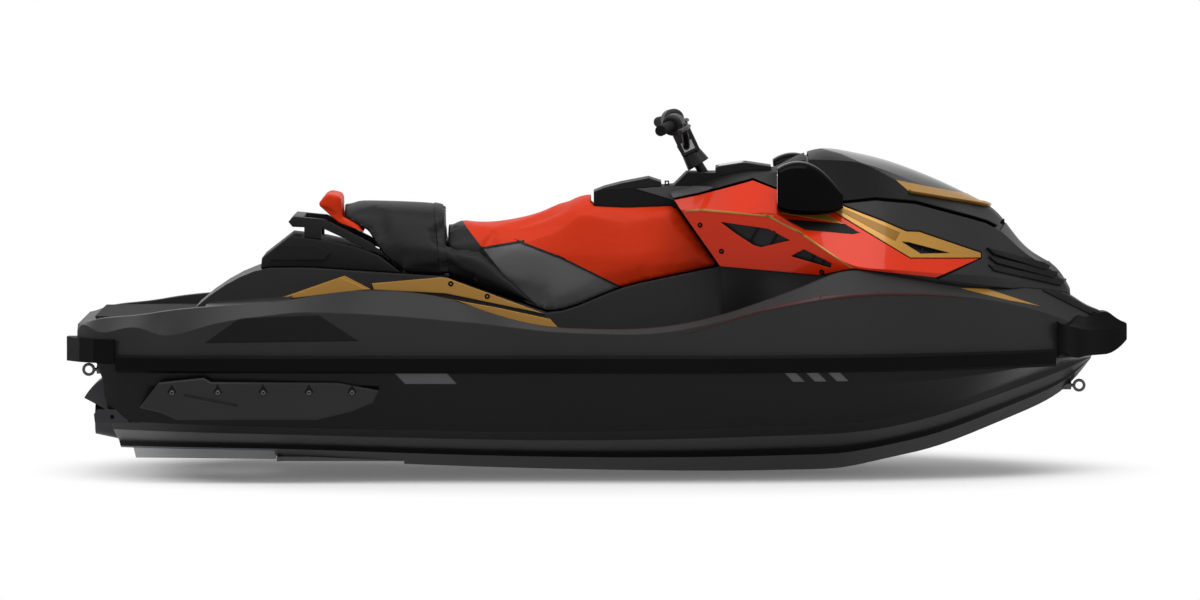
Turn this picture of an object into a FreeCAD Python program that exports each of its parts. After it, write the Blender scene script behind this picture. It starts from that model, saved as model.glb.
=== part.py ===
"""Personal watercraft for two, as a parametric model in millimetres.

X points forward, Y to port and Z up. The origin lies amidships on the centre plane at the waterline.
Lines are drawn as on a lines plan: stations in percent of the overall length from amidships,
half-breadths in percent of the half beam, and heights in percent of the hull depth (keel to bond line)
or of the deck height (bond line to the crest of the hood).
"""
import FreeCAD, Part
import math
import os
import Sketcher

V = FreeCAD.Vector
doc = FreeCAD.newDocument("watercraft")

# Driving dimensions
size = doc.addObject("Spreadsheet::Sheet", "Size")
dimensions = {
    "overall_length": 3310,
    "overall_beam": 1224,
    "hull_depth": 369,
    "deck_height": 646,
    "draft": 268,
    "seam": 3,
    "seat_gap": 0.4,
    "panel_wall": 14,
    "vent_recess": 5,
    "slat": 5,
    "rail_height": 54,
    "rail_width": 19,
    "footwell_floor": 16,
    "mat_thickness": 7,
    "engine_length": 600,
    "engine_width": 300,
    "engine_height": 330,
    "engine_foot": 28,
    "engine_foot_length": 80,
    "bay_clearance": 40,
    "bay_floor": 60,
    "hatch_width": 300,
    "pump_axis": 165,
    "pump_bore": 78,
    "pump_wall": 9,
    "pump_length": 195,
    "venturi_length": 135,
    "jet_bore": 42,
    "venturi_wall": 6,
    "tunnel_width": 400,
    "tunnel_height": 332,
    "nozzle_length": 112,
    "nozzle_wall": 6,
    "nozzle_gap": 14,
    "nozzle_lap": 8,
    "flange_width": 12,
    "flange_thickness": 8,
    "ring_gap": 10,
    "ring_wall": 10,
    "ring_width": 30,
    "pivot_pin": 6,
    "pin_clearance": 0.3,
    "gate_radius": 146,
    "gate_wall": 6,
    "gate_arm": 6,
    "hub_radius": 24,
    "vane_count": 5,
    "vane_length": 52,
    "tail_cone_length": 50,
    "blade_count": 4,
    "blade_thickness": 5,
    "blade_gap": 2,
    "shaft_radius": 14,
    "shaft_clearance": 1,
    "ride_plate_thickness": 10,
    "grate_bar": 7,
    "grate_gap": 15,
    "grate_depth": 14,
    "column_width": 200,
    "notch_clearance": 5,
    "glovebox_length": 170,
    "glovebox_width": 140,
    "glovebox_depth": 95,
    "bin_length": 380,
    "bin_width": 290,
    "bin_depth": 300,
    "bin_wall": 6,
    "bin_clearance": 1,
    "steering_rake": 32,
    "steering_shaft": 15,
    "steering_depth": 110,
    "neck_foot_radius": 38,
    "neck_top_radius": 27,
    "neck_height": 62,
    "clamp_length": 56,
    "clamp_width": 64,
    "clamp_bolt": 6,
    "bar_radius": 11,
    "bar_half_width": 395,
    "grip_length": 125,
    "grip_radius": 17,
    "grip_flange": 7,
    "pod_length": 60,
    "pod_radius": 33,
    "pod_round": 11,
    "sponson_bevel": 5,
    "sponson_slot": 9,
    "eye_radius": 16,
    "eye_wire": 4.5,
    "eye_recess": 12,
    "eye_setback": 3.5,
    "skirt_clearance": 11,
    "hinge_pin": 5,
}
for row, (alias, number) in enumerate(dimensions.items(), 1):
    size.set(f"A{row}", alias.replace("_", " "))
    size.set(f"B{row}", str(number))
    size.setAlias(f"B{row}", alias)
doc.recompute()

half_beam = size.overall_beam / 2
bond_z = size.hull_depth - size.draft
nodes = {}


def along(station):
    return size.overall_length * station / 100


def across(share):
    return half_beam * share / 100


def hull_level(height):
    return size.hull_depth * height / 100 - size.draft


def deck_level(height):
    return bond_z + size.deck_height * height / 100


# Fair lines

def slope(knots, place, column):
    """Slope of a line at one of its points, flat at a crest or hollow so that it never overshoots."""
    rises = []
    for before in (place - 1, place):
        if 0 <= before < len(knots) - 1:
            here, ahead = knots[before], knots[before + 1]
            rises.append((ahead[column] - here[column]) / (ahead[0] - here[0]))
    if len(rises) == 1:
        return rises[0]
    if rises[0] * rises[1] <= 0:
        return 0
    return 2 * rises[0] * rises[1] / (rises[0] + rises[1])


def fair(knots, station):
    """Half-breadth and height of a line at a station."""
    station = min(max(station, knots[0][0]), knots[-1][0])
    place = 0
    while knots[place + 1][0] < station:
        place += 1
    here, ahead = knots[place], knots[place + 1]
    span = ahead[0] - here[0]
    u = (station - here[0]) / span
    values = []
    for column in (1, 2):
        start = slope(knots, place, column) * span
        end = slope(knots, place + 1, column) * span
        values.append(
            here[column] * (2 * u**3 - 3 * u**2 + 1)
            + start * (u**3 - 2 * u**2 + u)
            + ahead[column] * (3 * u**2 - 2 * u**3)
            + end * (u**3 - u**2)
        )
    return values


def mixed(start, end, share_y, share_z):
    return (
        start[0] + (end[0] - start[0]) * share_y,
        start[1] + (end[1] - start[1]) * share_z,
    )


# Solids from sections and outlines

def section(x, half):
    """Closed wire at x from its port half, listed upwards; a point of three values is a curve's pole."""
    ring = [(y, z, len(rest) > 0) for y, z, *rest in half]
    for y, z, pole in list(reversed(ring)):
        if y > 0.001:
            ring.append((-y, z, pole))
    if half[0][0] <= 0.001:
        ring.append(ring[0])
    edges = []
    start = V(x, ring[0][0], ring[0][1])
    pole = None
    for y, z, is_pole in ring[1:]:
        point = V(x, y, z)
        if is_pole:
            pole = point
            continue
        if pole is None:
            edges.append(Part.makeLine(start, point))
        else:
            curve = Part.BezierCurve()
            curve.setPoles([start, pole, point])
            edges.append(curve.toShape())
            pole = None
        start = point
    first = V(x, ring[0][0], ring[0][1])
    if start.distanceToPoint(first) > 0.001:
        edges.append(Part.makeLine(start, first))
    return Part.Wire(edges)


def loft(stations, half_section, ruled=False):
    wires = [section(along(station), half_section(station)) for station in stations]
    return Part.makeLoft(wires, True, ruled)


def prism(outline, inner, outer):
    """Side-view outline of (x, z) points, extruded between two distances from the centre plane."""
    points = [V(x, inner, z) for x, z in outline]
    face = Part.Face(Part.makePolygon(points + points[:1]))
    return face.extrude(V(0, outer - inner, 0))


def deck_outline(points):
    return [(along(station), deck_level(height)) for station, height in points]


def inset(outline, distance):
    """The same outline with its edges moved inwards, which leaves the parting gap between panels."""
    points = [V(x, 0, z) for x, z in outline]
    face = Part.Face(Part.makePolygon(points + points[:1]))
    return face.makeOffset2D(-distance, join=2)


def plan_prism(outline, low, high):
    points = [V(x, y, low) for x, y in outline]
    face = Part.Face(Part.makePolygon(points + points[:1]))
    return face.extrude(V(0, 0, high - low))


def mirrored(shape):
    return shape.mirror(V(0, 0, 0), V(0, 1, 0))


def moved(shape, dx=0, dy=0, dz=0):
    copy = shape.copy()
    copy.translate(V(dx, dy, dz))
    return copy


def one_solid(shape):
    """The largest solid of a result, without the slivers that a cut may leave beside it."""
    solids = sorted(shape.Solids, key=lambda solid: solid.Volume)
    return solids[-1]


def add_shape(name, shape):
    feature = doc.addObject("Part::Feature", name)
    feature.Label = name
    feature.Shape = shape
    nodes[name] = feature
    return feature


def keep(name, feature):
    feature.Label = name
    nodes[name] = feature
    return feature


def add_primitive(kind, name, **bindings):
    """A Part primitive with each property bound to an expression on the sheet."""
    primitive = doc.addObject(kind, name)
    for prop, expression in bindings.items():
        primitive.setExpression(prop.replace("__", "."), expression)
    return primitive


def fused(name, *pieces):
    result = doc.addObject("Part::MultiFuse", name)
    result.Shapes = list(pieces)
    return result


# Part design helpers

def new_body(name):
    body = doc.addObject("PartDesign::Body", name)
    return keep(name, body)


def new_sketch(body, role, name, **offset):
    plane = next(item for item in body.Origin.OriginFeatures if item.Role == role)
    sketch = body.newObject("Sketcher::SketchObject", name)
    sketch.AttachmentSupport = [(plane, "")]
    sketch.MapMode = "FlatFace"
    for axis, expression in offset.items():
        sketch.setExpression(f"AttachmentOffset.Base.{axis}", expression)
    return sketch


def draw(sketch, points):
    corners = [V(first, second, 0) for first, second in points]
    for start, end in zip(corners, corners[1:] + corners[:1]):
        sketch.addGeometry(Part.LineSegment(start, end), False)


def draw_circle(sketch, radius, x=0, y=0):
    index = sketch.addGeometry(Part.Circle(V(x, y, 0), V(0, 0, 1), 1), False)
    constraint = sketch.addConstraint(Sketcher.Constraint("Radius", index, 1))
    sketch.setExpression(f"Constraints[{constraint}]", radius)


# Hull lines: the keel, the hard chine, the knuckle above it and the bond line under the bumper rail
keel = [
    (-47.2, 0, 11.4), (-28.5, 0, 9.5), (-17, 0, 5.1), (-4, 0, 1.6), (8, 0, 0), (14, 0, 0.1),
    (22.5, 0, 2.4), (26, 0, 8.4), (30.4, 0, 17), (33.6, 0, 26), (37.1, 0, 39.2), (40.6, 0, 52),
    (43.5, 0, 66.4), (44.8, 0, 76), (46.1, 0, 90), (46.8, 0, 98),
]
chine = [
    (-47.2, 73, 51), (-45.5, 80, 51), (-40, 83, 49), (-17, 85, 44), (-4, 85, 42.3), (5.7, 85, 44),
    (14.4, 81.7, 46.3), (24.3, 70.3, 49), (31.2, 55.6, 59.3), (38, 32.7, 76.2), (43.7, 16.3, 91.6),
    (46.8, 5, 98.8),
]
knuckle = [
    (-47.2, 78, 82.4), (-45.5, 86, 82.4), (-40, 92, 82.4), (-17, 96, 82.4), (12, 95.4, 82.4),
    (23.7, 84.5, 82.4), (31.2, 71, 84.5), (38, 51.5, 90.5), (43.7, 29, 97), (46.8, 9, 99.3),
]
bond = [
    (-49, 67, 0), (-47.2, 79.5, 0), (-45.5, 87.5, 0), (-40, 93.5, 0), (-30, 96, 0), (-17, 96.7, 0),
    (10, 96.7, 0), (17, 93, 0), (24.3, 85.8, 0), (31.2, 72.7, 0), (38, 53.9, 0), (43.7, 32.2, 0),
    (46.6, 15.5, 0), (47.6, 9, 0),
]
strake_place = (0.47, 0.36)
strake_step = (0.5, 0.47)
chine_flat = (0.9, 0.8)

# Deck lines: the crease along the side, the top of the gunwale and the seat base on the pedestal
side_crease = [
    (-49, 64, 14.4), (-47.2, 77, 15.2), (-45.5, 84.5, 15.4), (-38.5, 91.5, 15.9), (-35.3, 94, 20),
    (-26.7, 92.5, 24.8), (-17, 93.1, 22), (-9.5, 94.8, 18.6), (-3.8, 95.4, 15.4), (2, 95.4, 14.5),
    (5.7, 95.4, 15.2), (12.6, 92.5, 22.4), (15.9, 90, 26.2), (26, 79, 33.1), (33.6, 61, 30.8),
    (38.8, 44, 26.3), (43.7, 27, 18.2), (46.3, 13.1, 12.9), (47.6, 6, 11.5),
]
gunwale = [
    (-49, 58, 17.5), (-46.7, 69, 20.5), (-42.5, 75, 23), (-38, 77, 26), (-30.6, 76.8, 28.9),
    (-21.7, 81.7, 34.5), (-16, 84.2, 32.7), (-11.4, 86.6, 26), (-6.1, 89, 18.2), (0, 90.7, 16.4),
    (5.7, 90, 17.4), (12.6, 86.6, 25), (19, 79, 36.5), (23.7, 71.5, 44), (31.2, 56, 38.7),
    (36.6, 40, 35.4), (41.8, 22.5, 32.2), (43.7, 17, 30.6), (46.1, 9, 24.1), (47.6, 4, 20.5),
]
seat_base = [
    (-38.2, 33, 24), (-36, 33, 33), (-33, 34, 41), (-31.5, 34, 43.2), (-27.5, 34.5, 43.3),
    (-25, 35, 42.5), (-21.4, 36, 41.3), (-14.8, 36.5, 39.2), (-10, 36, 30.5), (-5, 35, 21.5),
    (2.6, 34, 34.2), (9.1, 35, 41.6), (13, 37, 46),
]
pedestal_foot = 41.5
core_breadth = 33

# Fairing lines, from the deck up: foot, knee crease, shoulder, crown edge and centre line
fairing_foot = [
    (0, 40, 33), (7, 41.5, 36), (11.6, 49, 44), (20.5, 64, 40.8), (23.6, 69.8, 42.5),
    (31.5, 58.5, 38), (35.9, 47, 35.8), (40.9, 24.5, 32.7), (44.7, 8.2, 27),
]
knee_crease = [
    (0, 30, 68), (7, 39, 72), (8.6, 47, 71.7), (16.3, 62, 70.4), (19.9, 68.6, 57.6), (23.6, 71.5, 46.3),
    (31.5, 59.6, 42), (35.9, 47.4, 40), (40.9, 22.9, 35.8), (44.7, 7.4, 28.6),
]
shoulder = [
    (0, 26, 74), (7, 31, 75.9), (14.4, 37.6, 85.9), (16.6, 44.1, 81.7), (21.1, 50.7, 73.8),
    (25.9, 47.4, 77.2), (29.7, 40.8, 75.2), (34.9, 31, 68), (36.5, 26.1, 65.2), (40.9, 16.3, 47.2),
    (42.8, 11, 41.5), (44.7, 4.9, 29.6),
]
crown_edge = [
    (0, 16, 76), (7, 19.6, 79), (13.8, 24.5, 88), (16.6, 26, 89.5), (19.3, 27.8, 95.4), (24.1, 27, 94.4),
    (28.5, 24.5, 86.8), (33.2, 18, 77.6), (37.6, 9.8, 67.4), (40.9, 7.4, 48.6), (42.8, 5.5, 43.4),
    (44.7, 3.3, 30.6),
]
crown = [
    (0, 0, 78), (7, 0, 80.5), (10.5, 0, 87.3), (13.8, 0, 90.3), (16.6, 0, 91.2), (19.3, 0, 98.1),
    (20.3, 0, 100), (24.1, 0, 98.1), (28.5, 0, 91.8), (33.2, 0, 82), (37.6, 0, 69.3), (40.9, 0, 49.7),
    (42.8, 0, 44.6), (44.7, 0, 31.4),
]


# Hull

def hull_section(station):
    low = fair(keel, station)
    hard = fair(chine, station)
    high = fair(knuckle, station)
    edge = fair(bond, station)
    points = [low]
    points.append(mixed(low, hard, *strake_place))
    points.append(mixed(low, hard, *strake_step))
    points.append(mixed(low, hard, *chine_flat))
    points.append(hard)
    points.append(high)
    half = [(across(y), hull_level(z)) for y, z in points]
    half.append((across(edge[0]), bond_z))
    return half


hull_stations = [-47.2, -44, -38, -30, -20, -10, 0, 8, 14, 19, 23, 27, 31, 35, 38.5, 41.5, 44, 45.6, 46.6]
hull = loft(hull_stations, hull_section)

# The raked transom
transom = [
    (-49, -20), (-45.1, -20), (-45.2, 24), (-45.7, 50), (-46.3, 71), (-46.5, 87), (-47.1, 101), (-49, 101),
]
transom = [(along(station), hull_level(height)) for station, height in transom]
hull = hull.cut(prism(transom, -half_beam, half_beam))

# The tunnel for the pump, open at the transom and below, where the ride plate closes it
pump_z = size.pump_axis - size.draft
pump_front = along(-34.8)
plate_front = along(-30.7)
plate_back = along(-44.1)
tunnel_half = size.tunnel_width / 2
tunnel_top = size.tunnel_height - size.draft
tunnel_length = pump_front - along(-49)
below_hull = hull_level(-20)
tunnel = Part.makeBox(
    tunnel_length, size.tunnel_width, tunnel_top - below_hull, V(along(-49), -tunnel_half, below_hull)
)
plate_edge = hull_level(25.5)
plate_bed_top = plate_edge + size.ride_plate_thickness + size.seat_gap
plate_bed = Part.makeBox(
    plate_front - pump_front + 1, size.tunnel_width, plate_bed_top - below_hull,
    V(pump_front - 1, -tunnel_half, below_hull),
)
hull = hull.cut(tunnel).cut(plate_bed)

# The intake: a slanting duct from the grate in the bottom to the round pump bore
intake_front = along(-18.6)
duct_bore = Part.makeCylinder(
    size.pump_bore, plate_front - pump_front + along(2), V(pump_front - 1, 0, pump_z), V(1, 0, 0)
)
duct_back = pump_front + along(2)
duct = prism(
    [
        (duct_back, pump_z + size.pump_bore), (duct_back, pump_z - size.pump_bore),
        (plate_front, hull_level(-10)),
        (intake_front, hull_level(-10)), (intake_front, hull_level(18)), (along(-23), hull_level(42)),
        (along(-29), pump_z + size.pump_bore),
    ],
    -size.pump_bore, size.pump_bore,
)
shaft_back = pump_front - size.pump_length * 0.55
engine_back = along(-13.4)
shaft_hole = Part.makeCylinder(
    size.shaft_radius + size.shaft_clearance, engine_back - pump_front, V(pump_front, 0, pump_z), V(1, 0, 0)
)
hull = hull.cut(duct_bore).cut(duct).cut(shaft_hole)

# The engine bay
bay_back = engine_back - size.bay_clearance
bay_length = size.engine_length + 2 * size.bay_clearance
bay_width = size.engine_width + 2 * size.bay_clearance
bay_bottom = size.bay_floor - size.draft
bay_top = bay_bottom + size.engine_foot + size.engine_height + size.bay_clearance
bay = Part.makeBox(bay_length, bay_width, bay_top - bay_bottom, V(bay_back, -bay_width / 2, bay_bottom))
hull = one_solid(hull.cut(bay))
add_shape("hull", hull)


# Deck

def deck_section(station):
    edge = fair(bond, station)
    crease = fair(side_crease, station)
    rim = fair(gunwale, station)
    half = [(across(edge[0]), bond_z), (across(crease[0]), deck_level(crease[1]))]
    half.append((across(rim[0]), deck_level(rim[1])))
    return half


def pedestal_section(station):
    top = fair(seat_base, station)
    return [(across(pedestal_foot), deck_level(1)), (across(top[0]), deck_level(60))]


def fairing_section(station, inward=0):
    """Half section of the fairing, moved inwards by a wall thickness."""
    foot = fair(fairing_foot, station)
    knee = fair(knee_crease, station)
    upper = fair(shoulder, station)
    edge = fair(crown_edge, station)
    top = fair(crown, station)
    half = [(across(pedestal_foot if station < 16 else foot[0]) - inward, deck_level(1))]
    half.append((across(foot[0]) - inward, deck_level(foot[1])))
    half.append((across(knee[0]) - inward, deck_level(knee[1]) - inward * 0.4))
    half.append((across(upper[0]) - inward, deck_level(upper[1]) - inward * 0.8))
    half.append((across(edge[0]) - inward * 0.3, deck_level(edge[1]) - inward))
    half.append((across(edge[0]) * 0.5, deck_level(top[1]) - inward, "pole"))
    half.append((0, deck_level(top[1]) - inward))
    return [(max(point[0], 0), *point[1:]) for point in half]


def footwell_section(station):
    rim = fair(gunwale, station)
    ends = [(-29, 0, 26), (-27, 0, 8), (-25, 0, 0), (12, 0, 0), (16, 0, 4), (19, 0, 14), (21.5, 0, 30)]
    floor = bond_z + size.footwell_floor + size.deck_height * fair(ends, station)[1] / 100
    inner = across(core_breadth)
    outer = across(rim[0] - 7.5)
    top = deck_level(60)
    return [(inner, floor), (outer, floor), (outer + 8, top), (inner, top)]


def port_loft(stations, corners, ruled=False):
    """Loft of closed polygons that lie on the port side only."""
    wires = []
    for station in stations:
        points = [V(along(station), y, z) for y, z in corners(station)]
        wires.append(Part.makePolygon(points + points[:1]))
    return Part.makeLoft(wires, True, ruled)


deck_stations = [-49, -47.2, -45.5, -42, -38, -35.3, -31, -26.7, -21.7, -17, -13, -9.5, -5, 0, 5.7, 9.5]
deck_stations += [12.6, 15.9, 19, 21.5, 24.3, 28, 31.2, 34.5, 38, 41, 43.7, 45.5, 46.8, 47.6]
deck_shell = loft(deck_stations, deck_section)
footwell_stations = [-29, -27, -25, -20, -15, -10, -5, 0, 6, 12, 16, 19, 21.5]
footwell = port_loft(footwell_stations, footwell_section, ruled=True)


def platform_section(station):
    rim = fair(gunwale, station)
    return [(across(rim[0] - 8), deck_level(20)), (across(rim[0] - 6), deck_level(60))]


platform_space = loft([-50, -47, -44, -40, -37], platform_section)
deck = deck_shell.cut(footwell).cut(mirrored(footwell)).cut(platform_space)

pedestal_stations = [-38.2, -35, -31.5, -27, -21.4, -15, -10, -5, 2.6, 9.1, 13]
seat_crest = -14.8
base_stations = [-38.2 + 1.4 * step for step in range(13)] + [seat_crest, -10]
base_stations += [-5 + 1.5 * step for step in range(13)]
base_profile = [(along(station), deck_level(fair(seat_base, station)[1])) for station in base_stations]
over_base = base_profile + [(along(13), deck_level(130)), (along(-38.2), deck_level(130))]
pedestal = loft(pedestal_stations, pedestal_section).cut(prism(over_base, -half_beam, half_beam))

# The fairing's own shape, and the tower inside it that its panels sit on
seat_front_top = (7, 76)
seat_front_foot = (11.4, 44)
lean = (seat_front_foot[0] - seat_front_top[0]) / (seat_front_top[1] - seat_front_foot[1])
seat_front_high = (seat_front_foot[0] - lean * (125 - seat_front_foot[1]), 125)
seat_room = deck_outline([(-12, 125), seat_front_high, seat_front_foot, (seat_front_foot[0], 0), (-12, 0)])
seat_room = prism(seat_room, -half_beam, half_beam)
fairing_stations = [1, 4, 7, 9, 11.6, 14.4, 16.6, 18.5, 21, 23.7, 26.5]
fairing_stations += [29.7, 32.5, 35.2, 37.6, 40, 41.7, 43.2, 44.6]
fairing = loft(fairing_stations, fairing_section)
fairing_inside = loft(fairing_stations, lambda station: fairing_section(station, size.panel_wall))
tower = loft(fairing_stations, lambda station: fairing_section(station, size.panel_wall + size.seat_gap))
panels = fairing.cut(fairing_inside).cut(seat_room).cut(moved(deck_shell, dz=size.seat_gap))
tower = tower.cut(seat_room)

deck = deck.fuse([pedestal, tower]).removeSplitter()

# Openings in the deck: the bay below, the hatch under the seat, the bin under the hood
hatch_back = along(-13)
hatch_length = along(-1.6) - hatch_back
hatch = Part.makeBox(
    hatch_length, size.hatch_width, deck_level(60) - bond_z, V(hatch_back, -size.hatch_width / 2, bond_z)
)
bin_front = along(33)
bin_back = bin_front - size.bin_length
bin_top = deck_level(110)
bin_rim_z = deck_level(69)
bin_bottom = bin_rim_z - size.bin_depth
bin_space = Part.makeBox(
    size.bin_length, size.bin_width, bin_top - bin_bottom, V(bin_back, -size.bin_width / 2, bin_bottom)
)
deck = deck.cut(bay).cut(hatch).cut(bin_space)

# The steering axis leans back, and its shaft turns in a bore in the tower
rake = math.radians(size.steering_rake)
steering_axis = V(-math.sin(rake), 0, math.cos(rake))
steering_foot = V(along(9.6), 0, deck_level(90))
steering_bore = Part.makeCylinder(
    size.steering_shaft + size.shaft_clearance, size.steering_depth * 3,
    steering_foot - steering_axis * size.steering_depth, steering_axis,
)
deck = one_solid(deck.cut(steering_bore))

# The recess in the stern face that holds the tow eye
stern_face = along(-49)
eye_reach = size.eye_radius + size.eye_wire
tow_eye_centre = V(stern_face + size.eye_recess - eye_reach - size.eye_setback, 0, deck_level(7))
recess_half = eye_reach + 4
recess_corner = V(stern_face, -recess_half, tow_eye_centre.z - recess_half)
recess = Part.makeBox(size.eye_recess, 2 * recess_half, 2 * recess_half, recess_corner)
deck = one_solid(deck.cut(recess))

# Panels of the fairing, parted along their seams
red_outline = [
    (6.5, 75.9), (7.1, 76.2), (9.3, 78.6), (14.4, 85.9), (16.6, 81.7), (21.1, 73.8), (29.1, 49.2),
    (35.9, 48.4), (31.5, 39.6), (23.7, 44.6), (20.5, 41), (11.2, 44.6),
]
trim_outline = [
    (21.1, 73.8), (22.4, 75), (26.8, 66.4), (28.8, 61.9), (30, 61.6), (35.9, 51), (35.9, 48.4), (29.1, 49.2),
]
dark_outline = [
    (22.4, 75), (25.9, 76.6), (29.7, 74.6), (34.9, 67.2), (36.5, 64.6), (37.8, 61), (39.2, 68.2), (45.5, 45),
    (45.5, 26), (41, 31.5),
    (36, 35.2), (31.5, 38.6), (35.9, 48.4), (35.9, 51), (30, 61.6), (28.8, 61.9), (26.8, 66.4),
]
hood_outline = [
    (19.6, 106), (19.6, 79), (21.6, 75.2), (25.9, 77.4), (29.7, 75.4), (34.9, 68), (36.5, 65.4), (37.6, 62.4),
    (39, 69.6), (30, 106),
]
console_outline = [
    (0, 110), (0, 77), (7, 76.6), (9.3, 79.2), (14.4, 86.5), (16.6, 82.2), (19.4, 77), (19.4, 106),
]


def panel(outline, distance, inner=0):
    face = inset(deck_outline(outline), distance)
    return panels.common(moved(face.extrude(V(0, half_beam - inner, 0)), dy=inner))


half_seam = size.seam / 2
fairing_pieces = {}
for name, outline in (("side_panel", red_outline), ("bow_trim", trim_outline), ("bow_fairing", dark_outline)):
    fairing_pieces[name] = panel(outline, half_seam, half_seam)

# Vents: openings with slats that are set back from the skin
outer_layer = fairing.cut(loft(fairing_stations, lambda station: fairing_section(station, size.vent_recess)))
vents = {
    "side_panel": [
        [(11.3, 66.3), (15.8, 63.3), (17.8, 57.9), (15.1, 54.3), (14.4, 55.3), (12.8, 60.6)],
        [(17.9, 50.2), (19.1, 53.7), (21.7, 47.1), (21.6, 44.8)],
    ],
    "bow_trim": [[(28.3, 57), (29, 56.6), (32.9, 51.2), (30.1, 51.2)]],
}
for name, outlines in vents.items():
    for outline in outlines:
        opening = prism(deck_outline(outline), 0, half_beam)
        box = opening.BoundBox
        through = opening
        for share in (0.36, 0.68):
            x = box.XMin + share * box.XLength
            rise = box.ZLength
            slat = [(x, box.ZMin), (x + size.slat, box.ZMin)]
            slat += [(x + size.slat + rise * 0.6, box.ZMax), (x + rise * 0.6, box.ZMax)]
            through = through.cut(prism(slat, 0, half_beam))
        fairing_pieces[name] = fairing_pieces[name].cut(opening.common(outer_layer)).cut(through)

hood_port = panel(hood_outline, size.seam)
hood_shell = one_solid(hood_port.fuse(mirrored(hood_port)).removeSplitter())
deflector_line = deck_outline(
    [
        (15, 108), (22.8, 97.5), (25.9, 91), (27.9, 85.5), (29.3, 79.4), (34.4, 74.5), (37.1, 71.6), (40, 71),
        (40, 108),
    ]
)
hood = one_solid(hood_shell.cut(prism(deflector_line, -half_beam, half_beam)))
deflector_space = inset(deflector_line, size.seat_gap).extrude(V(0, 2 * half_beam, 0))
deflector = one_solid(hood_shell.common(moved(deflector_space, dy=-half_beam)))

console_port = panel(console_outline, half_seam)
console = console_port.fuse(mirrored(console_port)).removeSplitter()

# The hood's hinge: a pin across a knuckle on the hood, turning in two lugs on the tower
hinge_x = along(38.1)
hinge_z = deck_level(64.2)
knuckle_half = 10
lug_inner, lug_outer = knuckle_half + 2, knuckle_half + 14
hinge_centre = V(hinge_x, 0, hinge_z)
hood_pin = Part.makeCylinder(size.hinge_pin, 2 * lug_outer, hinge_centre - V(0, lug_outer, 0), V(0, 1, 0))
hood_knuckle = Part.makeCylinder(
    size.hinge_pin + 4, 2 * knuckle_half, hinge_centre - V(0, knuckle_half, 0), V(0, 1, 0)
)
hinge_room = Part.makeBox(30, 2 * lug_outer + 6, 80, hinge_centre - V(15, lug_outer + 3, 40))
knuckle_room = Part.makeBox(30, 2 * knuckle_half, 80, hinge_centre - V(15, knuckle_half, 40))
lugs = Part.makeBox(18, 2 * lug_outer, 40, hinge_centre - V(9, lug_outer, 31))
lugs = lugs.cut(Part.makeBox(60, 2 * lug_inner, 90, hinge_centre - V(30, lug_inner, 45)))
lug_bore = Part.makeCylinder(
    size.hinge_pin + size.pin_clearance, 4 * lug_outer, hinge_centre - V(0, 2 * lug_outer, 0), V(0, 1, 0)
)
swing_room = Part.makeBox(34, 2 * lug_inner, 60, hinge_centre - V(20, lug_inner, 14))
deck = one_solid(deck.cut(swing_room).fuse(lugs).cut(lug_bore))
for name, piece in fairing_pieces.items():
    piece = one_solid(piece.cut(hinge_room))
    add_shape(name + "_left", piece)
    add_shape(name + "_right", mirrored(piece))
hood = hood.cut(hinge_room.cut(knuckle_room))
deflector = one_solid(deflector.cut(hinge_room))
hood = one_solid(hood.fuse([hood_pin, hood_knuckle]))

# The console's column, which the fork of the seat straddles, with the glovebox in its top
column_half = size.column_width / 2
lid_low_back = (-0.6, 79.2)
lid_low_front = (6.1, 82)
column_side = deck_outline(
    [(-0.6, 20), lid_low_back, lid_low_front, (7, 82.4), (8.2, 88.6), (11.5, 88.6), (12, 30)]
)
column = prism(column_side, -column_half, column_half)
raised_base = [(x, z + size.seat_gap) for x, z in base_profile]
under_base = raised_base + [(along(13), bond_z), (along(-38.2), bond_z)]
under_base_solid = prism(under_base, -half_beam, half_beam)
column = column.cut(under_base_solid).cut(deck)
glovebox_back = along(0.6)
glovebox_floor = deck_level(82) - size.glovebox_depth
glovebox = Part.makeBox(
    size.glovebox_length, size.glovebox_width, size.glovebox_depth + 60,
    V(glovebox_back, -size.glovebox_width / 2, glovebox_floor),
)
lid_pin = size.hinge_pin - 1
lid_hinge = V(along(6.35), 0, deck_level(82) + 7)
lid_lugs = Part.makeBox(14, 88, 20, lid_hinge - V(7, 44, 14))
lid_lugs = lid_lugs.cut(Part.makeBox(60, 64, 60, lid_hinge - V(30, 32, 30)))
lid_bore = Part.makeCylinder(lid_pin + size.pin_clearance, 200, lid_hinge - V(0, 100, 0), V(0, 1, 0))
console = console.fuse(column).cut(glovebox).cut(steering_bore).fuse(lid_lugs).cut(lid_bore)
console = one_solid(console.removeSplitter())
add_shape("deck", deck)
add_shape("hood", hood)
add_shape("hood_deflector", deflector)
add_shape("console", console)

# Glovebox lid: its knuckle turns on a pin in two lugs on the ledge ahead of it
lid_top = deck_outline([lid_low_back, (0.4, 81.3), (2, 83.4), (4.6, 86), (5.8, 84), (5.85, 81.9)])
lid_top = [(x, z + size.seat_gap) for x, z in lid_top]
lid = prism(lid_top, -column_half + 6, column_half - 6)
lid = lid.fuse(Part.makeBox(14, 60, 10, lid_hinge - V(14, 30, 5)))
lid = lid.fuse(Part.makeCylinder(5, 60, lid_hinge - V(0, 30, 0), V(0, 1, 0)))
lid = lid.fuse(Part.makeCylinder(lid_pin, 84, lid_hinge - V(0, 42, 0), V(0, 1, 0)))
add_shape("glovebox_lid", one_solid(lid.cut(console)))


# Seats

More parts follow.
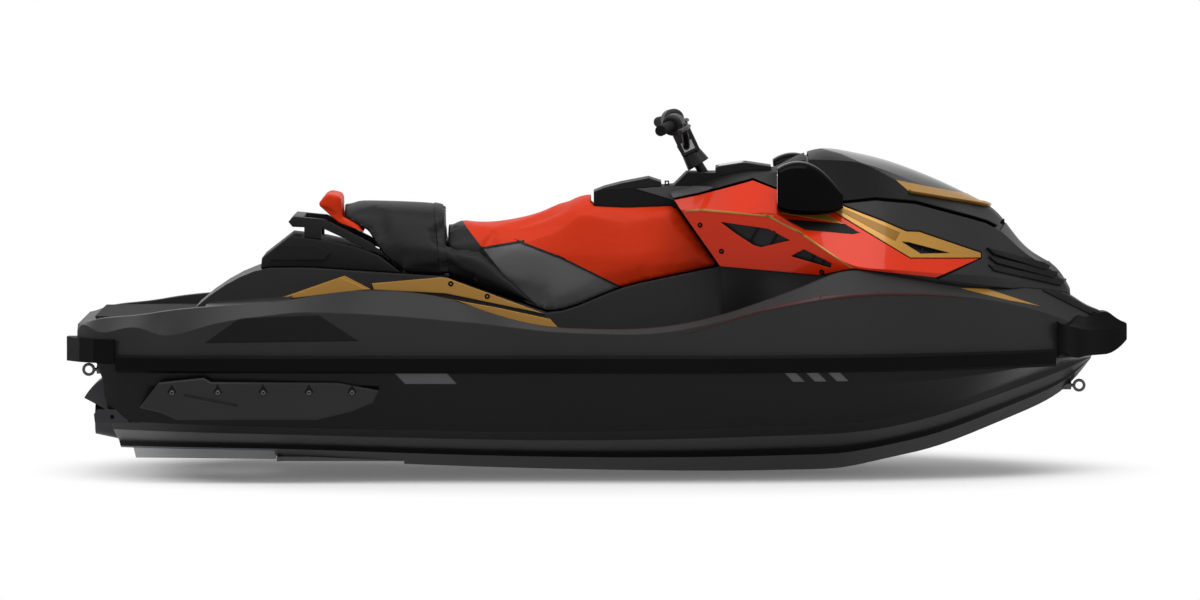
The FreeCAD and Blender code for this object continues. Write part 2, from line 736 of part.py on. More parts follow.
def driver_section(station):
    low = fair([(-15, 27, 20), (-6, 28, 10), (-4, 31, 10), (9, 32.5, 20), (13, 33.5, 30)], station)
    side = fair([(-15, 26.5, 55), (-6, 27.5, 50), (2, 29, 48), (9, 31.5, 55), (13, 33, 58)], station)
    edge = fair(
        [
            (-15, 20, 61.5), (-10.7, 21, 60.5), (-7.8, 21.5, 62.5), (-3.7, 21.5, 69.5), (-1, 21.5, 73.5),
            (2.8, 22, 71), (7, 26, 72), (13, 29, 70),
        ],
        station,
    )
    top = fair(
        [
            (-15, 0, 65), (-12.8, 0, 64.4), (-10.7, 0, 63.6), (-7.8, 0, 65.5), (-5.6, 0, 68.6),
            (-3.7, 0, 73.8), (-2.3, 0, 78.1), (-1, 0, 79.6), (2.8, 0, 80.4), (7, 0, 76.5), (13, 0, 74),
        ],
        station,
    )
    half = [(across(low[0]), deck_level(low[1])), (across(side[0]), deck_level(side[1]))]
    half.append((across(edge[0]), deck_level(edge[1])))
    half.append((across(edge[0]) * 0.6, deck_level(top[1]), "pole"))
    half.append((0, deck_level(top[1])))
    return half


def passenger_section(station):
    low = fair([(-27, 34, 20), (-14, 37, 15), (-4, 37, 5)], station)
    side = fair([(-27, 31, 55), (-14, 33, 50), (-4, 36, 30)], station)
    edge = fair([(-27, 23, 69), (-14, 23, 68), (-4, 26, 60)], station)
    top = fair([(-27, 0, 75), (-14, 0, 73), (-4, 0, 70)], station)
    half = [(across(low[0]), deck_level(low[1])), (across(side[0]), deck_level(side[1]))]
    half.append((across(edge[0]), deck_level(edge[1])))
    half.append((across(edge[0]) * 0.6, deck_level(top[1]), "pole"))
    half.append((0, deck_level(top[1])))
    return half


driver_stations = [-14.5, -12.8, -10.7, -7.8, -5.6, -3.7, -2.3, -1, 0.8, 2.8, 5, 7, 10, 12.5]
driver_back = along(-14.5)
notch_half = column_half + size.notch_clearance
notch_corner = V(along(-0.6) - size.notch_clearance, -notch_half, bond_z)
notch = Part.makeBox(along(20), 2 * notch_half, 2 * size.deck_height, notch_corner)
front_gap = size.seam
driver_face = [(x - front_gap, z) for x, z in deck_outline([seat_front_high, seat_front_foot, (11.4, 30)])]
ahead_of_driver = driver_face + deck_outline([(25, 30), (25, 125)])
driver = loft(driver_stations, driver_section).cut(under_base_solid)
driver = driver.cut(prism(ahead_of_driver, -half_beam, half_beam)).cut(notch)
driver = one_solid(driver)
add_shape("driver_seat", driver)

passenger_back = [(-22, 61), (-24.3, 67), (-24.3, 75.5)]
passenger_outline = deck_outline(
    passenger_back
    + [(-14.6, 73.3), (-14.5, 73.2), (-10.9, 51.4), (-5.3, 23.4), (-5.3, 0), (-18.3, 0), (-18.3, 40)]
    + [(-20.6, 49.7)]
)
tail_space = Part.makeBox(
    along(30), 2 * across(29), 2 * size.deck_height, V(driver_back - size.seam, -across(29), bond_z)
)
passenger_stations = [-26, -22, -18, -14, -10, -5]
passenger = loft(passenger_stations, passenger_section)
passenger = passenger.common(prism(passenger_outline, -half_beam, half_beam))
# It rests on the pedestal's level part, and its skirts hang clear of the slope ahead of that
level_part = [point for point in base_profile if point[0] <= along(seat_crest)]
slope_part = [point for point in base_profile if point[0] > along(seat_crest)]
crest_x, crest_z = level_part[-1]
below_passenger = [(x, z + 2 * size.seat_gap) for x, z in level_part]
below_passenger += [(crest_x + 1, crest_z + size.skirt_clearance)]
below_passenger += [(x, z + size.skirt_clearance) for x, z in slope_part]
below_passenger += [(along(13), bond_z), (along(-38.2), bond_z)]
passenger = one_solid(passenger.cut(prism(below_passenger, -half_beam, half_beam)).cut(tail_space))
add_shape("passenger_seat", passenger)

tail_outline = deck_outline(
    [(-24.3, 77.2), (-25.6, 79.6), (-26.5, 75.8), (-26.7, 73.4), (-24.7, 64.2), (-22.2, 59.8)]
    + passenger_back
)
tail_outline = [(x - size.seat_gap, z) for x, z in tail_outline]
tail = prism(tail_outline, -across(27), across(27))
add_shape("seat_tail", tail)

# Rear support and grab handle
support_outline = deck_outline(
    [
        (-32, 43.5), (-31.9, 48), (-29.2, 58.8), (-26, 56.8), (-23, 53.4), (-20.9, 49.4), (-18.5, 39.8),
        (-19, 30), (-32, 30),
    ]
)
support = prism(support_outline, -across(31), across(31)).cut(under_base_solid)
add_shape("seat_support", one_solid(support))

handle_side = deck_outline(
    [
        (-29.4, 65.4), (-28.9, 68), (-26, 66.6), (-23.3, 59.6), (-21.4, 54.6), (-20.6, 49.6), (-21.9, 52.2),
        (-23.6, 56.2), (-26.2, 62.4), (-29, 63),
    ]
)
handle_bar = deck_outline([(-29.4, 65.4), (-28.9, 68), (-28, 67.6), (-28, 62.8), (-29, 63)])
handle_post = deck_outline([(-27.9, 55), (-27.9, 64), (-26.3, 63), (-26.3, 55)])
arm_inner, arm_outer = across(25), across(31)
grab_handle = prism(handle_bar, -arm_outer, arm_outer)
for side in (-1, 1):
    grab_handle = grab_handle.fuse(prism(handle_side, side * arm_inner, side * arm_outer))
    grab_handle = grab_handle.fuse(prism(handle_post, side * arm_inner, side * arm_outer))
grab_handle = grab_handle.cut(moved(support, dz=size.seat_gap)).cut(support)
add_shape("grab_handle", one_solid(grab_handle.removeSplitter()))

# Bumper rail along the bond line, with the caps at stern and bow

rail_half = size.rail_height / 2


def rail_section(station):
    inner = across(fair(bond, station)[0]) + size.seat_gap * 1.5
    outer = inner + size.rail_width
    low, high = bond_z - rail_half, bond_z + rail_half
    lip = size.rail_width * 0.4
    return [
        (inner, low), (outer - lip, low), (outer, low + lip), (outer, high - lip), (outer - lip, high),
        (inner, high),
    ]


rail_stations = [-45.2, -42, -38, -30, -20, -10, 0, 10, 17, 24, 31, 35, 38, 41, 43]
rail = port_loft(rail_stations, rail_section)
rail = one_solid(moved(rail.cut(hull).cut(deck), dy=size.seat_gap))
add_shape("bumper_rail_left", rail)
add_shape("bumper_rail_right", mirrored(rail))

stern_outer = [(-45.3, 89.3), (-47.3, 83), (-48.7, 75), (-50, 62), (-50, 52), (-48.8, 52)]
stern_cap = plan_prism(
    [(along(station), across(share)) for station, share in stern_outer + [(-48.8, 64), (-45.3, 85)]],
    bond_z + size.seat_gap, deck_level(11.5),
)
stern_cap = one_solid(moved(stern_cap.cut(deck), -size.seat_gap, size.seat_gap))
add_shape("stern_bumper_left", stern_cap)
add_shape("stern_bumper_right", mirrored(stern_cap))


nose_breadth = [(43.2, 35.8, 0), (45, 28, 0), (46.6, 19, 0), (48, 11.5, 0), (49.2, 6, 0), (50, 2, 0)]
nose_foot = [(43.2, 0, 0), (48, 0, 0.4), (49.2, 0, 3), (50, 0, 7)]
nose_crease = [(43.2, 0, 17), (46.6, 0, 12.4), (49.2, 0, 12.4), (50, 0, 13.5)]
nose_lip = [(43.2, 0, 18), (46.6, 0, 18.6), (47.7, 0, 21.6), (48.6, 0, 18.6), (50, 0, 14.6)]


def nose_section(station):
    outer = fair(nose_breadth, station)[0]
    low = fair(nose_foot, station)[1]
    crease = fair(nose_crease, station)[1]
    lip = fair(nose_lip, station)[1]
    return [
        (across(outer), deck_level(low) + size.seat_gap), (across(outer), deck_level(crease)),
        (across(outer * 0.62), deck_level(lip)),
    ]


nose = loft([43.2, 44.5, 46, 47.2, 48.2, 49, 49.6, 50], nose_section)
nose = one_solid(moved(nose.cut(deck).cut(hull), dx=2 * size.seat_gap))
add_shape("bow_bumper", nose)

# Sponsons on the hull sides near the stern
sponson_outline = [
    (-42.9, 72), (-41.1, 93), (-36.9, 97), (-36.2, 93.5), (-24.5, 93), (-20.6, 86.5), (-21.1, 76.4),
    (-23.2, 68.6), (-26.4, 61.8), (-39.4, 61.8), (-40.8, 67.5),
]
sponson_outline = [(along(station), hull_level(height - 8)) for station, height in sponson_outline]
sponson_face = across(98.5)
sponson = prism(sponson_outline, across(70), sponson_face)
outer_rim = [edge for edge in sponson.Edges if edge.BoundBox.YMin > sponson_face - 1]
sponson = sponson.makeChamfer(size.sponson_bevel, outer_rim)
slot_ends = [(along(-38.7), hull_level(74.5)), (along(-33.8), hull_level(66))]
slot = [(x, z - size.sponson_slot / 2) for x, z in slot_ends]
slot += [(x, z + size.sponson_slot / 2) for x, z in reversed(slot_ends)]
sponson = sponson.cut(prism(slot, sponson_face - size.sponson_bevel, half_beam)).cut(hull)
sponson = one_solid(moved(sponson, dy=size.seat_gap))
add_shape("sponson_left", sponson)
add_shape("sponson_right", mirrored(sponson))

# Mats in the footwells and on the platform
mat_low = bond_z + size.footwell_floor + size.seat_gap


def mat_section(station):
    rim = fair(gunwale, station)
    inner, outer = across(pedestal_foot + 1.5), across(rim[0] - 9)
    mat_top = mat_low + size.mat_thickness
    return [(inner, mat_low), (outer, mat_low), (outer, mat_top), (inner, mat_top)]


mat = port_loft([-24.5, -20, -14, -8, -2, 4, 11], mat_section)
add_shape("footwell_mat_left", mat)
add_shape("footwell_mat_right", mirrored(mat))
platform_corners = [(-47.4, 55), (-40, 64), (-38.6, 60), (-38.6, -60), (-40, -64), (-47.4, -55)]
platform_mat = plan_prism(
    [(along(station), across(share)) for station, share in platform_corners],
    deck_level(20) + size.seat_gap, deck_level(20) + size.seat_gap + size.mat_thickness,
)
add_shape("platform_mat", platform_mat)

# Engine: one block on four feet in its bay
engine_block = add_primitive(
    "Part::Box", "engine_block",
    Length="Size.engine_length", Width="Size.engine_width", Height="Size.engine_height",
)
block_back = "-0.134 * Size.overall_length"
engine_block.setExpression("Placement.Base.x", block_back)
engine_block.setExpression("Placement.Base.y", "-Size.engine_width / 2")
engine_block.setExpression("Placement.Base.z", "Size.bay_floor - Size.draft + Size.engine_foot")
feet = []
front_foot = block_back + " + Size.engine_length - Size.engine_foot_length"
for end, place in (("back", block_back), ("front", front_foot)):
    foot = add_primitive(
        "Part::Box", f"engine_foot_{end}",
        Length="Size.engine_foot_length", Width="Size.engine_width",
        Height="Size.engine_foot - Size.seat_gap",
    )
    foot.setExpression("Placement.Base.x", place)
    foot.setExpression("Placement.Base.y", "-Size.engine_width / 2")
    foot.setExpression("Placement.Base.z", "Size.bay_floor - Size.draft + Size.seat_gap")
    feet.append(foot)
keep("engine", fused("engine", engine_block, *feet))

# Storage bin under the hood: a tub hung in the tower
tub_length = size.bin_length - 2 * size.bin_clearance
tub_width = size.bin_width - 2 * size.bin_clearance
tub_back = bin_back + size.bin_clearance
bin_outer = Part.makeBox(
    tub_length, tub_width, size.bin_depth - size.bin_clearance,
    V(tub_back, -tub_width / 2, bin_bottom + size.seat_gap),
)
bin_hollow = Part.makeBox(
    tub_length - 2 * size.bin_wall, tub_width - 2 * size.bin_wall, size.bin_depth,
    V(tub_back + size.bin_wall, -tub_width / 2 + size.bin_wall, bin_bottom + size.bin_wall),
)
add_shape("storage_bin", bin_outer.cut(bin_hollow))

# Handlebar: the neck turns on the raked shaft and carries the bar, grips and switch pods
neck_base = steering_foot + steering_axis * 16
neck_top = neck_base + steering_axis * size.neck_height
neck = Part.makeCone(
    size.neck_foot_radius, size.neck_top_radius, size.neck_height, neck_base, steering_axis
)
shaft_foot = neck_base - steering_axis * (size.steering_depth - 6)
shaft = Part.makeCylinder(size.steering_shaft, size.steering_depth - 4, shaft_foot, steering_axis)
bar_centre = neck_top + steering_axis * size.bar_radius
clamp = Part.makeBox(
    size.clamp_length, size.clamp_width, 2 * size.bar_radius,
    V(-size.clamp_length / 2, -size.clamp_width / 2, -size.bar_radius),
)
for x in (-1, 1):
    for y in (-1, 1):
        bolt_foot = V(x * size.clamp_length / 3, y * size.clamp_width / 3, size.bar_radius - 1)
        clamp = clamp.fuse(Part.makeCylinder(size.clamp_bolt, size.clamp_bolt, bolt_foot))
clamp.Placement = FreeCAD.Placement(bar_centre, FreeCAD.Rotation(V(0, 0, 1), steering_axis))
bar_ends = []
bar_points = [bar_centre + V(0, 45, 0)]
bar_points.append(bar_centre + V(-12, 135, 62))
bar_points.append(bar_centre + V(-40, 235, 72))
bar_points.append(V(bar_centre.x - 82, size.bar_half_width, bar_centre.z + 58))
bar_curve = Part.BSplineCurve()
bar_curve.interpolate([V(point.x, -point.y, point.z) for point in reversed(bar_points)] + bar_points)
bar_path = Part.Wire([bar_curve.toShape()])
bar_start = bar_curve.value(bar_curve.FirstParameter)
bar_direction = bar_curve.tangent(bar_curve.FirstParameter)[0]
bar_circle = Part.Wire([Part.Circle(bar_start, bar_direction, size.bar_radius).toShape()])
bar = bar_path.makePipeShell([bar_circle], True, False)
steering_neck = neck.fuse([shaft, clamp]).cut(bar)
add_shape("steering_neck", one_solid(steering_neck))
add_shape("handlebar", bar)
grip_direction = (bar_points[3] - bar_points[2]).normalize()
for side, word in ((1, "left"), (-1, "right")):
    way = V(grip_direction.x, side * grip_direction.y, grip_direction.z)
    end = V(bar_points[3].x, side * bar_points[3].y, bar_points[3].z)
    start = end - way * size.grip_length
    tube = Part.makeCylinder(size.grip_radius, size.grip_length + 6, start, way)
    flange = Part.makeCylinder(size.grip_radius + size.grip_flange, size.grip_flange, start, way)
    add_shape("grip_" + word, one_solid(tube.fuse(flange).cut(bar)))
    pod_start = start - way * (size.pod_length + 6)
    pod = Part.makeCylinder(size.pod_radius, size.pod_length, pod_start, way)
    pod = pod.makeFillet(size.pod_round, [edge for edge in pod.Edges if edge.Closed])
    half_pod = size.pod_length / 2
    block = Part.makeBox(size.pod_length, size.pod_length, half_pod, V(-half_pod / 2, -half_pod, -half_pod))
    block = block.makeFillet(size.pod_round, block.Edges)
    block.Placement = FreeCAD.Placement(pod_start + way * half_pod, FreeCAD.Rotation())
    add_shape("switch_pod_" + word, one_solid(pod.fuse(block).cut(bar)))

# Gauge cluster ahead of the bar
gauge_side = deck_outline([(10.9, 86), (11, 91.2), (13.8, 93.4), (16.2, 91.6), (16.2, 86)])
gauge = prism(gauge_side, -across(15), across(15)).cut(fairing).cut(console)
add_shape("gauge_cluster", one_solid(moved(gauge, dz=size.seat_gap)))


# Mirrors
def mirror_section(station, inner, outer, low, high):
    """Closed curve with full, rounded corners across a mirror's shell."""
    y, half_y = across(inner + outer) / 2, across(outer - inner) / 2
    z, half_z = (deck_level(low) + deck_level(high)) / 2, (deck_level(high) - deck_level(low)) / 2
    points = []
    for step in range(16):
        turn = math.radians(22.5 * step)
        run, rise = math.cos(turn), math.sin(turn)
        run = math.copysign(math.sqrt(abs(run)), run)
        rise = math.copysign(math.sqrt(abs(rise)), rise)
        points.append(V(along(station), y + half_y * run, z + half_z * rise))
    curve = Part.BSplineCurve()
    curve.interpolate(points, PeriodicFlag=True)
    return Part.Wire([curve.toShape()])


mirror = Part.makeLoft(
    [
        mirror_section(16.6, 52, 70, 72.5, 92.5),
        mirror_section(17.4, 51, 71, 71, 94.6),
        mirror_section(19.3, 51, 69.5, 70, 95.2),
        mirror_section(21.3, 52, 65, 70.5, 89),
        mirror_section(22.8, 53.5, 60, 73, 80),
    ],
    True, False,
)
mirror = one_solid(moved(mirror.cut(fairing), dz=size.seat_gap))
add_shape("mirror_left", mirror)
add_shape("mirror_right", mirrored(mirror))

# Jet pump: bored housing with a venturi, stator vanes round a tail cone, and ears for the pivots
pump_back = pump_front - size.pump_length
venturi_back = pump_back - size.venturi_length
pivot_x = venturi_back
outer_radius = size.pump_bore + size.pump_wall
venturi_radius = size.jet_bore + size.venturi_wall
bell_radius = venturi_radius + size.nozzle_gap
ring_inner = bell_radius + size.nozzle_wall + size.ring_gap
ring_outer = ring_inner + size.ring_wall
ear_inner = ring_outer + 5
ear_outer = ear_inner + 12
pump_plane = "Size.pump_axis - Size.draft"

pump = new_body("pump_housing")
casing_profile = new_sketch(pump, "XY_Plane", "casing_profile", z=pump_plane)
flange_face = pump_front - size.seat_gap
flange = size.flange_thickness
flange_radius = outer_radius + size.flange_width
draw(
    casing_profile,
    [
        (flange_face, size.pump_bore), (flange_face, flange_radius), (flange_face - flange, flange_radius),
        (flange_face - flange, outer_radius), (pump_back + flange, outer_radius),
        (pump_back + flange, flange_radius), (pump_back, flange_radius), (pump_back, size.pump_bore),
    ],
)
casing = pump.newObject("PartDesign::Revolution", "casing")
casing.Profile = casing_profile
casing.ReferenceAxis = (casing_profile, ["H_Axis"])
casing.Angle = 360
vane_profile = new_sketch(pump, "XY_Plane", "vane_profile", z=pump_plane)
vane_back = pump_back + 8
vane_front = vane_back + size.vane_length
vane_root, vane_tip = size.hub_radius / 2, size.pump_bore + 1
draw(
    vane_profile,
    [(vane_back, vane_root), (vane_front, vane_root), (vane_front, vane_tip), (vane_back, vane_tip)],
)
vane = pump.newObject("PartDesign::Pad", "vane")
vane.Profile = vane_profile
vane.setExpression("Length", "Size.blade_thickness")
vane.Midplane = True
vanes = pump.newObject("PartDesign::PolarPattern", "vanes")
vanes.Originals = [vane]
vanes.Axis = (vane_profile, ["H_Axis"])
vanes.Angle = 360
vanes.Occurrences = int(size.vane_count)
pump.Tip = vanes
cone_profile = new_sketch(pump, "XY_Plane", "cone_profile", z=pump_plane)
cone_front = vane_front + 4
cone_back = vane_back - size.tail_cone_length
draw(
    cone_profile,
    [(cone_front, 0), (cone_front, size.hub_radius), (vane_back, size.hub_radius), (cone_back, 0)],
)
tail_cone = pump.newObject("PartDesign::Revolution", "tail_cone")
tail_cone.Profile = cone_profile
tail_cone.ReferenceAxis = (cone_profile, ["H_Axis"])
tail_cone.Angle = 360
pump.Tip = tail_cone

# Venturi: bolted to the housing's rear flange, it narrows to the jet and carries the ears of the pivots
venturi = new_body("venturi")
venturi_front = pump_back - size.seat_gap
lip_length = 34
throat = venturi_back + lip_length
venturi_profile = new_sketch(venturi, "XY_Plane", "venturi_profile", z=pump_plane)
draw(
    venturi_profile,
    [
        (venturi_front, size.pump_bore), (venturi_front, flange_radius),
        (venturi_front - flange, flange_radius), (venturi_front - flange, outer_radius),
        (throat, venturi_radius), (venturi_back, venturi_radius),
        (venturi_back, size.jet_bore), (throat, size.jet_bore),
    ],
)
venturi_cone = venturi.newObject("PartDesign::Revolution", "venturi_cone")
venturi_cone.Profile = venturi_profile
venturi_cone.ReferenceAxis = (venturi_profile, ["H_Axis"])
venturi_cone.Angle = 360
ear_profile = new_sketch(venturi, "XY_Plane", "ear_profile", z=pump_plane)
ear_root = size.pump_bore + 3
ear_height = 32
ear_back = pivot_x - ear_height / 2
for side in (1, -1):
    draw(
        ear_profile,
        [
            (venturi_front, side * ear_root), (venturi_front, side * ear_outer),
            (ear_back, side * ear_outer), (ear_back, side * ear_inner),
            (venturi_front - 14, side * ear_inner), (venturi_front - 14, side * ear_root),
        ],
    )
ears = venturi.newObject("PartDesign::Pad", "ears")
ears.Profile = ear_profile
ears.Length = ear_height
ears.Midplane = True
pivot_profile = new_sketch(venturi, "XZ_Plane", "pivot_profile")
draw_circle(pivot_profile, "Size.pivot_pin + Size.pin_clearance", pivot_x, pump_z)
pivot_bores = venturi.newObject("PartDesign::Pocket", "pivot_bores")
pivot_bores.Profile = pivot_profile
pivot_bores.Length = 2 * ear_outer + 10
pivot_bores.Midplane = True
venturi.Tip = pivot_bores

# Trim ring: swings about the ears' pins and carries the nozzle's upright pins
pivot = V(pivot_x, 0, pump_z)
ring_width = size.ring_width
ring = Part.makeCylinder(ring_outer, ring_width, pivot - V(ring_width / 2, 0, 0), V(1, 0, 0))
for way in (V(0, 1, 0), V(0, -1, 0)):
    ring = ring.fuse(Part.makeCylinder(size.pivot_pin, ear_inner + 5, pivot, way))
ring = ring.cut(Part.makeCylinder(ring_inner, ring_width, pivot - V(ring_width / 2, 0, 0), V(1, 0, 0)))
upright_bore = size.pivot_pin + size.pin_clearance
ring = ring.cut(Part.makeCylinder(upright_bore, 2 * ring_outer, pivot - V(0, 0, ring_outer), V(0, 0, 1)))
add_shape("trim_ring", one_solid(ring))

# Steering nozzle: a tapered bell on two upright pins
nozzle_front = pivot_x + size.nozzle_lap
nozzle_back = nozzle_front - size.nozzle_length
nozzle_half = [
    (nozzle_front, bell_radius), (nozzle_front, bell_radius + size.nozzle_wall),
    (nozzle_front - 18, bell_radius + size.nozzle_wall), (nozzle_back, size.jet_bore + size.nozzle_wall),
    (nozzle_back, size.jet_bore), (nozzle_front - 18, bell_radius),
]
nozzle_points = [V(x, 0, pump_z + radius) for x, radius in nozzle_half]
nozzle_profile = Part.Face(Part.makePolygon(nozzle_points + nozzle_points[:1]))
nozzle = nozzle_profile.revolve(V(0, 0, pump_z), V(1, 0, 0), 360)
pin_root = bell_radius + 2
for way in (V(0, 0, 1), V(0, 0, -1)):
    pin = Part.makeCylinder(size.pivot_pin, ring_outer - 2 - pin_root, pivot + way * pin_root, way)
    nozzle = nozzle.fuse(pin)
add_shape("steering_nozzle", one_solid(nozzle))

# Reverse gate: a curved bucket on two arms, drawn raised above the nozzle
gate_inner = ear_outer + 2
gate_outer = gate_inner + size.gate_arm
gate_angles = (28, 95)


def round_pivot(radius, angle):
    return (pivot_x - radius * math.cos(math.radians(angle)), pump_z + radius * math.sin(math.radians(angle)))


bucket_outer = size.gate_radius + size.gate_wall
start_angle, end_angle = gate_angles


def gate_arc(radius):
    """Arc about the pivot from the gate's lower edge to its upper edge."""
    ends = [round_pivot(radius, angle) for angle in (start_angle, (start_angle + end_angle) / 2, end_angle)]
    return Part.Arc(*[V(x, 0, z) for x, z in ends]).toShape()


outer_arc, inner_arc = gate_arc(bucket_outer), gate_arc(size.gate_radius)
corner = []
for radius, angle in (
    (size.gate_radius, start_angle), (bucket_outer, start_angle),
    (bucket_outer, end_angle), (size.gate_radius, end_angle),
):
    x, z = round_pivot(radius, angle)
    corner.append(V(x, 0, z))
bucket_wire = Part.Wire([
    Part.makeLine(corner[0], corner[1]), outer_arc, Part.makeLine(corner[2], corner[3]), inner_arc,
])
bucket = Part.Face(bucket_wire).extrude(V(0, 2 * gate_outer, 0))
gate = moved(bucket, dy=-gate_outer)
pivot_edges = [Part.makeLine(corner[2], pivot), Part.makeLine(pivot, corner[1]), outer_arc]
cheek = Part.Face(Part.Wire(Part.__sortEdges__(pivot_edges))).extrude(V(0, size.gate_arm, 0))
for side in (gate_inner, -gate_outer):
    gate = gate.fuse(moved(cheek, dy=side))
    boss = Part.makeCylinder(16, size.gate_arm, V(pivot_x, side, pump_z), V(0, 1, 0))
    gate = gate.fuse(boss)
gate_pin_root = ear_inner + 7
for way in (1, -1):
    pin_start = V(pivot_x, way * gate_pin_root, pump_z)
    gate = gate.fuse(Part.makeCylinder(size.pivot_pin, gate_outer - gate_pin_root, pin_start, V(0, way, 0)))
add_shape("reverse_gate", one_solid(gate.removeSplitter()))


# Impeller: twisted blades on a hub, turned by the shaft from the engine
hub_front = pump_front - 14
hub_back = hub_front - 66
hub = Part.makeCylinder(size.hub_radius, hub_front - hub_back, V(hub_back, 0, pump_z), V(1, 0, 0))
tip = size.pump_bore - size.blade_gap


def blade_section(share):
    """Strip across the blade from hub to tip at a share of its length, turned as the pitch asks."""
    x = hub_back + 6 + (hub_front - hub_back - 12) * share
    half = size.blade_thickness / 2
    root = size.hub_radius - 2
    points = [V(x, -half, root), V(x, half, root), V(x, half * 0.5, tip), V(x, -half * 0.5, tip)]
    wire = Part.makePolygon(points + points[:1])
    wire.rotate(V(0, 0, 0), V(1, 0, 0), 95 * share)
    wire.translate(V(0, 0, pump_z))
    return wire


blade = Part.makeLoft([blade_section(step / 5) for step in range(6)], True, False)
blade_count = int(size.blade_count)
for turn in range(blade_count):
    turned = blade.copy()
    turned.rotate(V(0, 0, pump_z), V(1, 0, 0), 360 * turn / blade_count)
    hub = hub.fuse(turned)
hub = hub.cut(Part.makeCylinder(size.shaft_radius, hub_front - hub_back, V(hub_back, 0, pump_z), V(1, 0, 0)))
add_shape("impeller", one_solid(hub))
drive_shaft = add_primitive("Part::Cylinder", "drive_shaft", Radius="Size.shaft_radius - 0.1")
drive_shaft.Height = engine_back - size.seat_gap - hub_back - 2
shaft_turn = FreeCAD.Rotation(V(0, 0, 1), V(1, 0, 0))
drive_shaft.Placement = FreeCAD.Placement(V(hub_back + 2, 0, pump_z), shaft_turn)
keep("drive_shaft", drive_shaft)


# Ride plate under the tunnel, and the grate in the intake
def plate_section(station):
    low = hull_level(fair(keel, station)[1])
    edge = size.tunnel_width / 2 - size.seat_gap
    return [
        (0, low), (edge, plate_edge), (edge, plate_edge + size.ride_plate_thickness),
        (0, low + size.ride_plate_thickness),
    ]


add_shape("ride_plate", loft([-44.1, -40, -36, -30.8], plate_section))

grate = new_body("intake_grate")
grate_height = "0.095 * Size.hull_depth - Size.draft"
grate_half = size.pump_bore - size.seat_gap
grate_back, grate_front = plate_front + 1.5, intake_front - 0.5
ends_profile = new_sketch(grate, "XY_Plane", "grate_ends", z=grate_height)
for start, end in ((grate_back, grate_back + 16), (grate_front - 16, grate_front)):
    draw(ends_profile, [(start, -grate_half), (end, -grate_half), (end, grate_half), (start, grate_half)])
ends_pad = grate.newObject("PartDesign::Pad", "grate_ends_pad")
ends_pad.Profile = ends_profile
ends_pad.setExpression("Length", "Size.grate_depth")
bar_profile = new_sketch(grate, "XY_Plane", "grate_bar_profile", z=grate_height)
first_bar = -3 * (size.grate_bar + size.grate_gap)
draw(
    bar_profile,
    [
        (grate_back, first_bar - size.grate_bar / 2), (grate_front, first_bar - size.grate_bar / 2),
        (grate_front, first_bar + size.grate_bar / 2), (grate_back, first_bar + size.grate_bar / 2),
    ],
)
bar_pad = grate.newObject("PartDesign::Pad", "grate_bar_pad")
bar_pad.Profile = bar_profile
bar_pad.setExpression("Length", "Size.grate_depth")
bars = grate.newObject("PartDesign::LinearPattern", "grate_bars")
bars.Originals = [bar_pad]
bars.Direction = (bar_profile, ["V_Axis"])
bars.setExpression("Length", "6 * (Size.grate_bar + Size.grate_gap)")
bars.Occurrences = 7
grate.Tip = bars


# Eyes: a ring on a stem, at the stem of the hull, the transom's corners and the stern of the deck
def eye(centre, way, seat):
    """A ring in the plane of X and Z whose stem runs along way until it meets its seat."""
    wire = size.eye_wire
    bore, rim = size.eye_radius - wire, size.eye_radius + wire
    corners = [centre + V(0, y, z) for y, z in ((-wire, bore), (-wire, rim), (wire, rim), (wire, bore))]
    ring = Part.Face(Part.makePolygon(corners + corners[:1])).revolve(centre, V(0, 1, 0), 360)
    rims = [edge for edge in ring.Edges if getattr(edge.Curve, "Radius", 0) > size.eye_radius]
    ring = ring.makeFillet(wire * 0.8, rims)
    root = centre + way * size.eye_radius
    stem = Part.makeCylinder(wire + 1, 60, root, way)
    pad = Part.makeCylinder(wire * 3, 40, root + way * 9, way)
    return one_solid(ring.fuse(stem.fuse(pad).cut(seat)))


bow_eye_centre = V(along(45.5), 0, hull_level(73))
add_shape("bow_eye", moved(eye(bow_eye_centre, V(-1, 0, 0), hull), dx=size.seat_gap))
stern_eye_centre = V(along(-47.9), across(66), hull_level(93))
stern_eye = moved(eye(stern_eye_centre, V(1, 0, 0), hull), dx=-size.seat_gap)
add_shape("stern_eye_left", stern_eye)
add_shape("stern_eye_right", mirrored(stern_eye))
tow_eye = eye(tow_eye_centre, V(1, 0, 0), deck)
tow_eye.rotate(tow_eye_centre, V(1, 0, 0), 90)
add_shape("tow_eye", moved(tow_eye, dx=-size.seat_gap))

# Plates at the stern corners of the chine, with three oval holes
stern_plate_corners = [(-42.7, 49.5), (-42.7, 61), (-46.9, 61), (-47.3, 57), (-47.2, 49.5)]
stern_plate = prism(
    [(along(station), hull_level(height)) for station, height in stern_plate_corners], across(70), across(84)
)
holes = []
for station, height in ((-45.6, 54.5), (-44.4, 57), (-43.9, 52)):
    oval = Part.makeCylinder(7, half_beam, V(along(station), 0, hull_level(height)), V(0, 1, 0))
    holes.append(oval)
stern_plate = stern_plate.common(
    Part.makeBox(along(6), 6, size.hull_depth, V(along(-48), across(80.5), -size.draft))
).cut(hull)
for hole in holes:
    stern_plate = stern_plate.cut(hole)
stern_plate = one_solid(moved(stern_plate, dy=size.seat_gap))
add_shape("stern_plate_left", stern_plate)
add_shape("stern_plate_right", mirrored(stern_plate))


# Mouldings on the pedestal's sides below the seats
def wide_pedestal_section(station):
    return [(y + 6, z) for y, z in pedestal_section(station)]


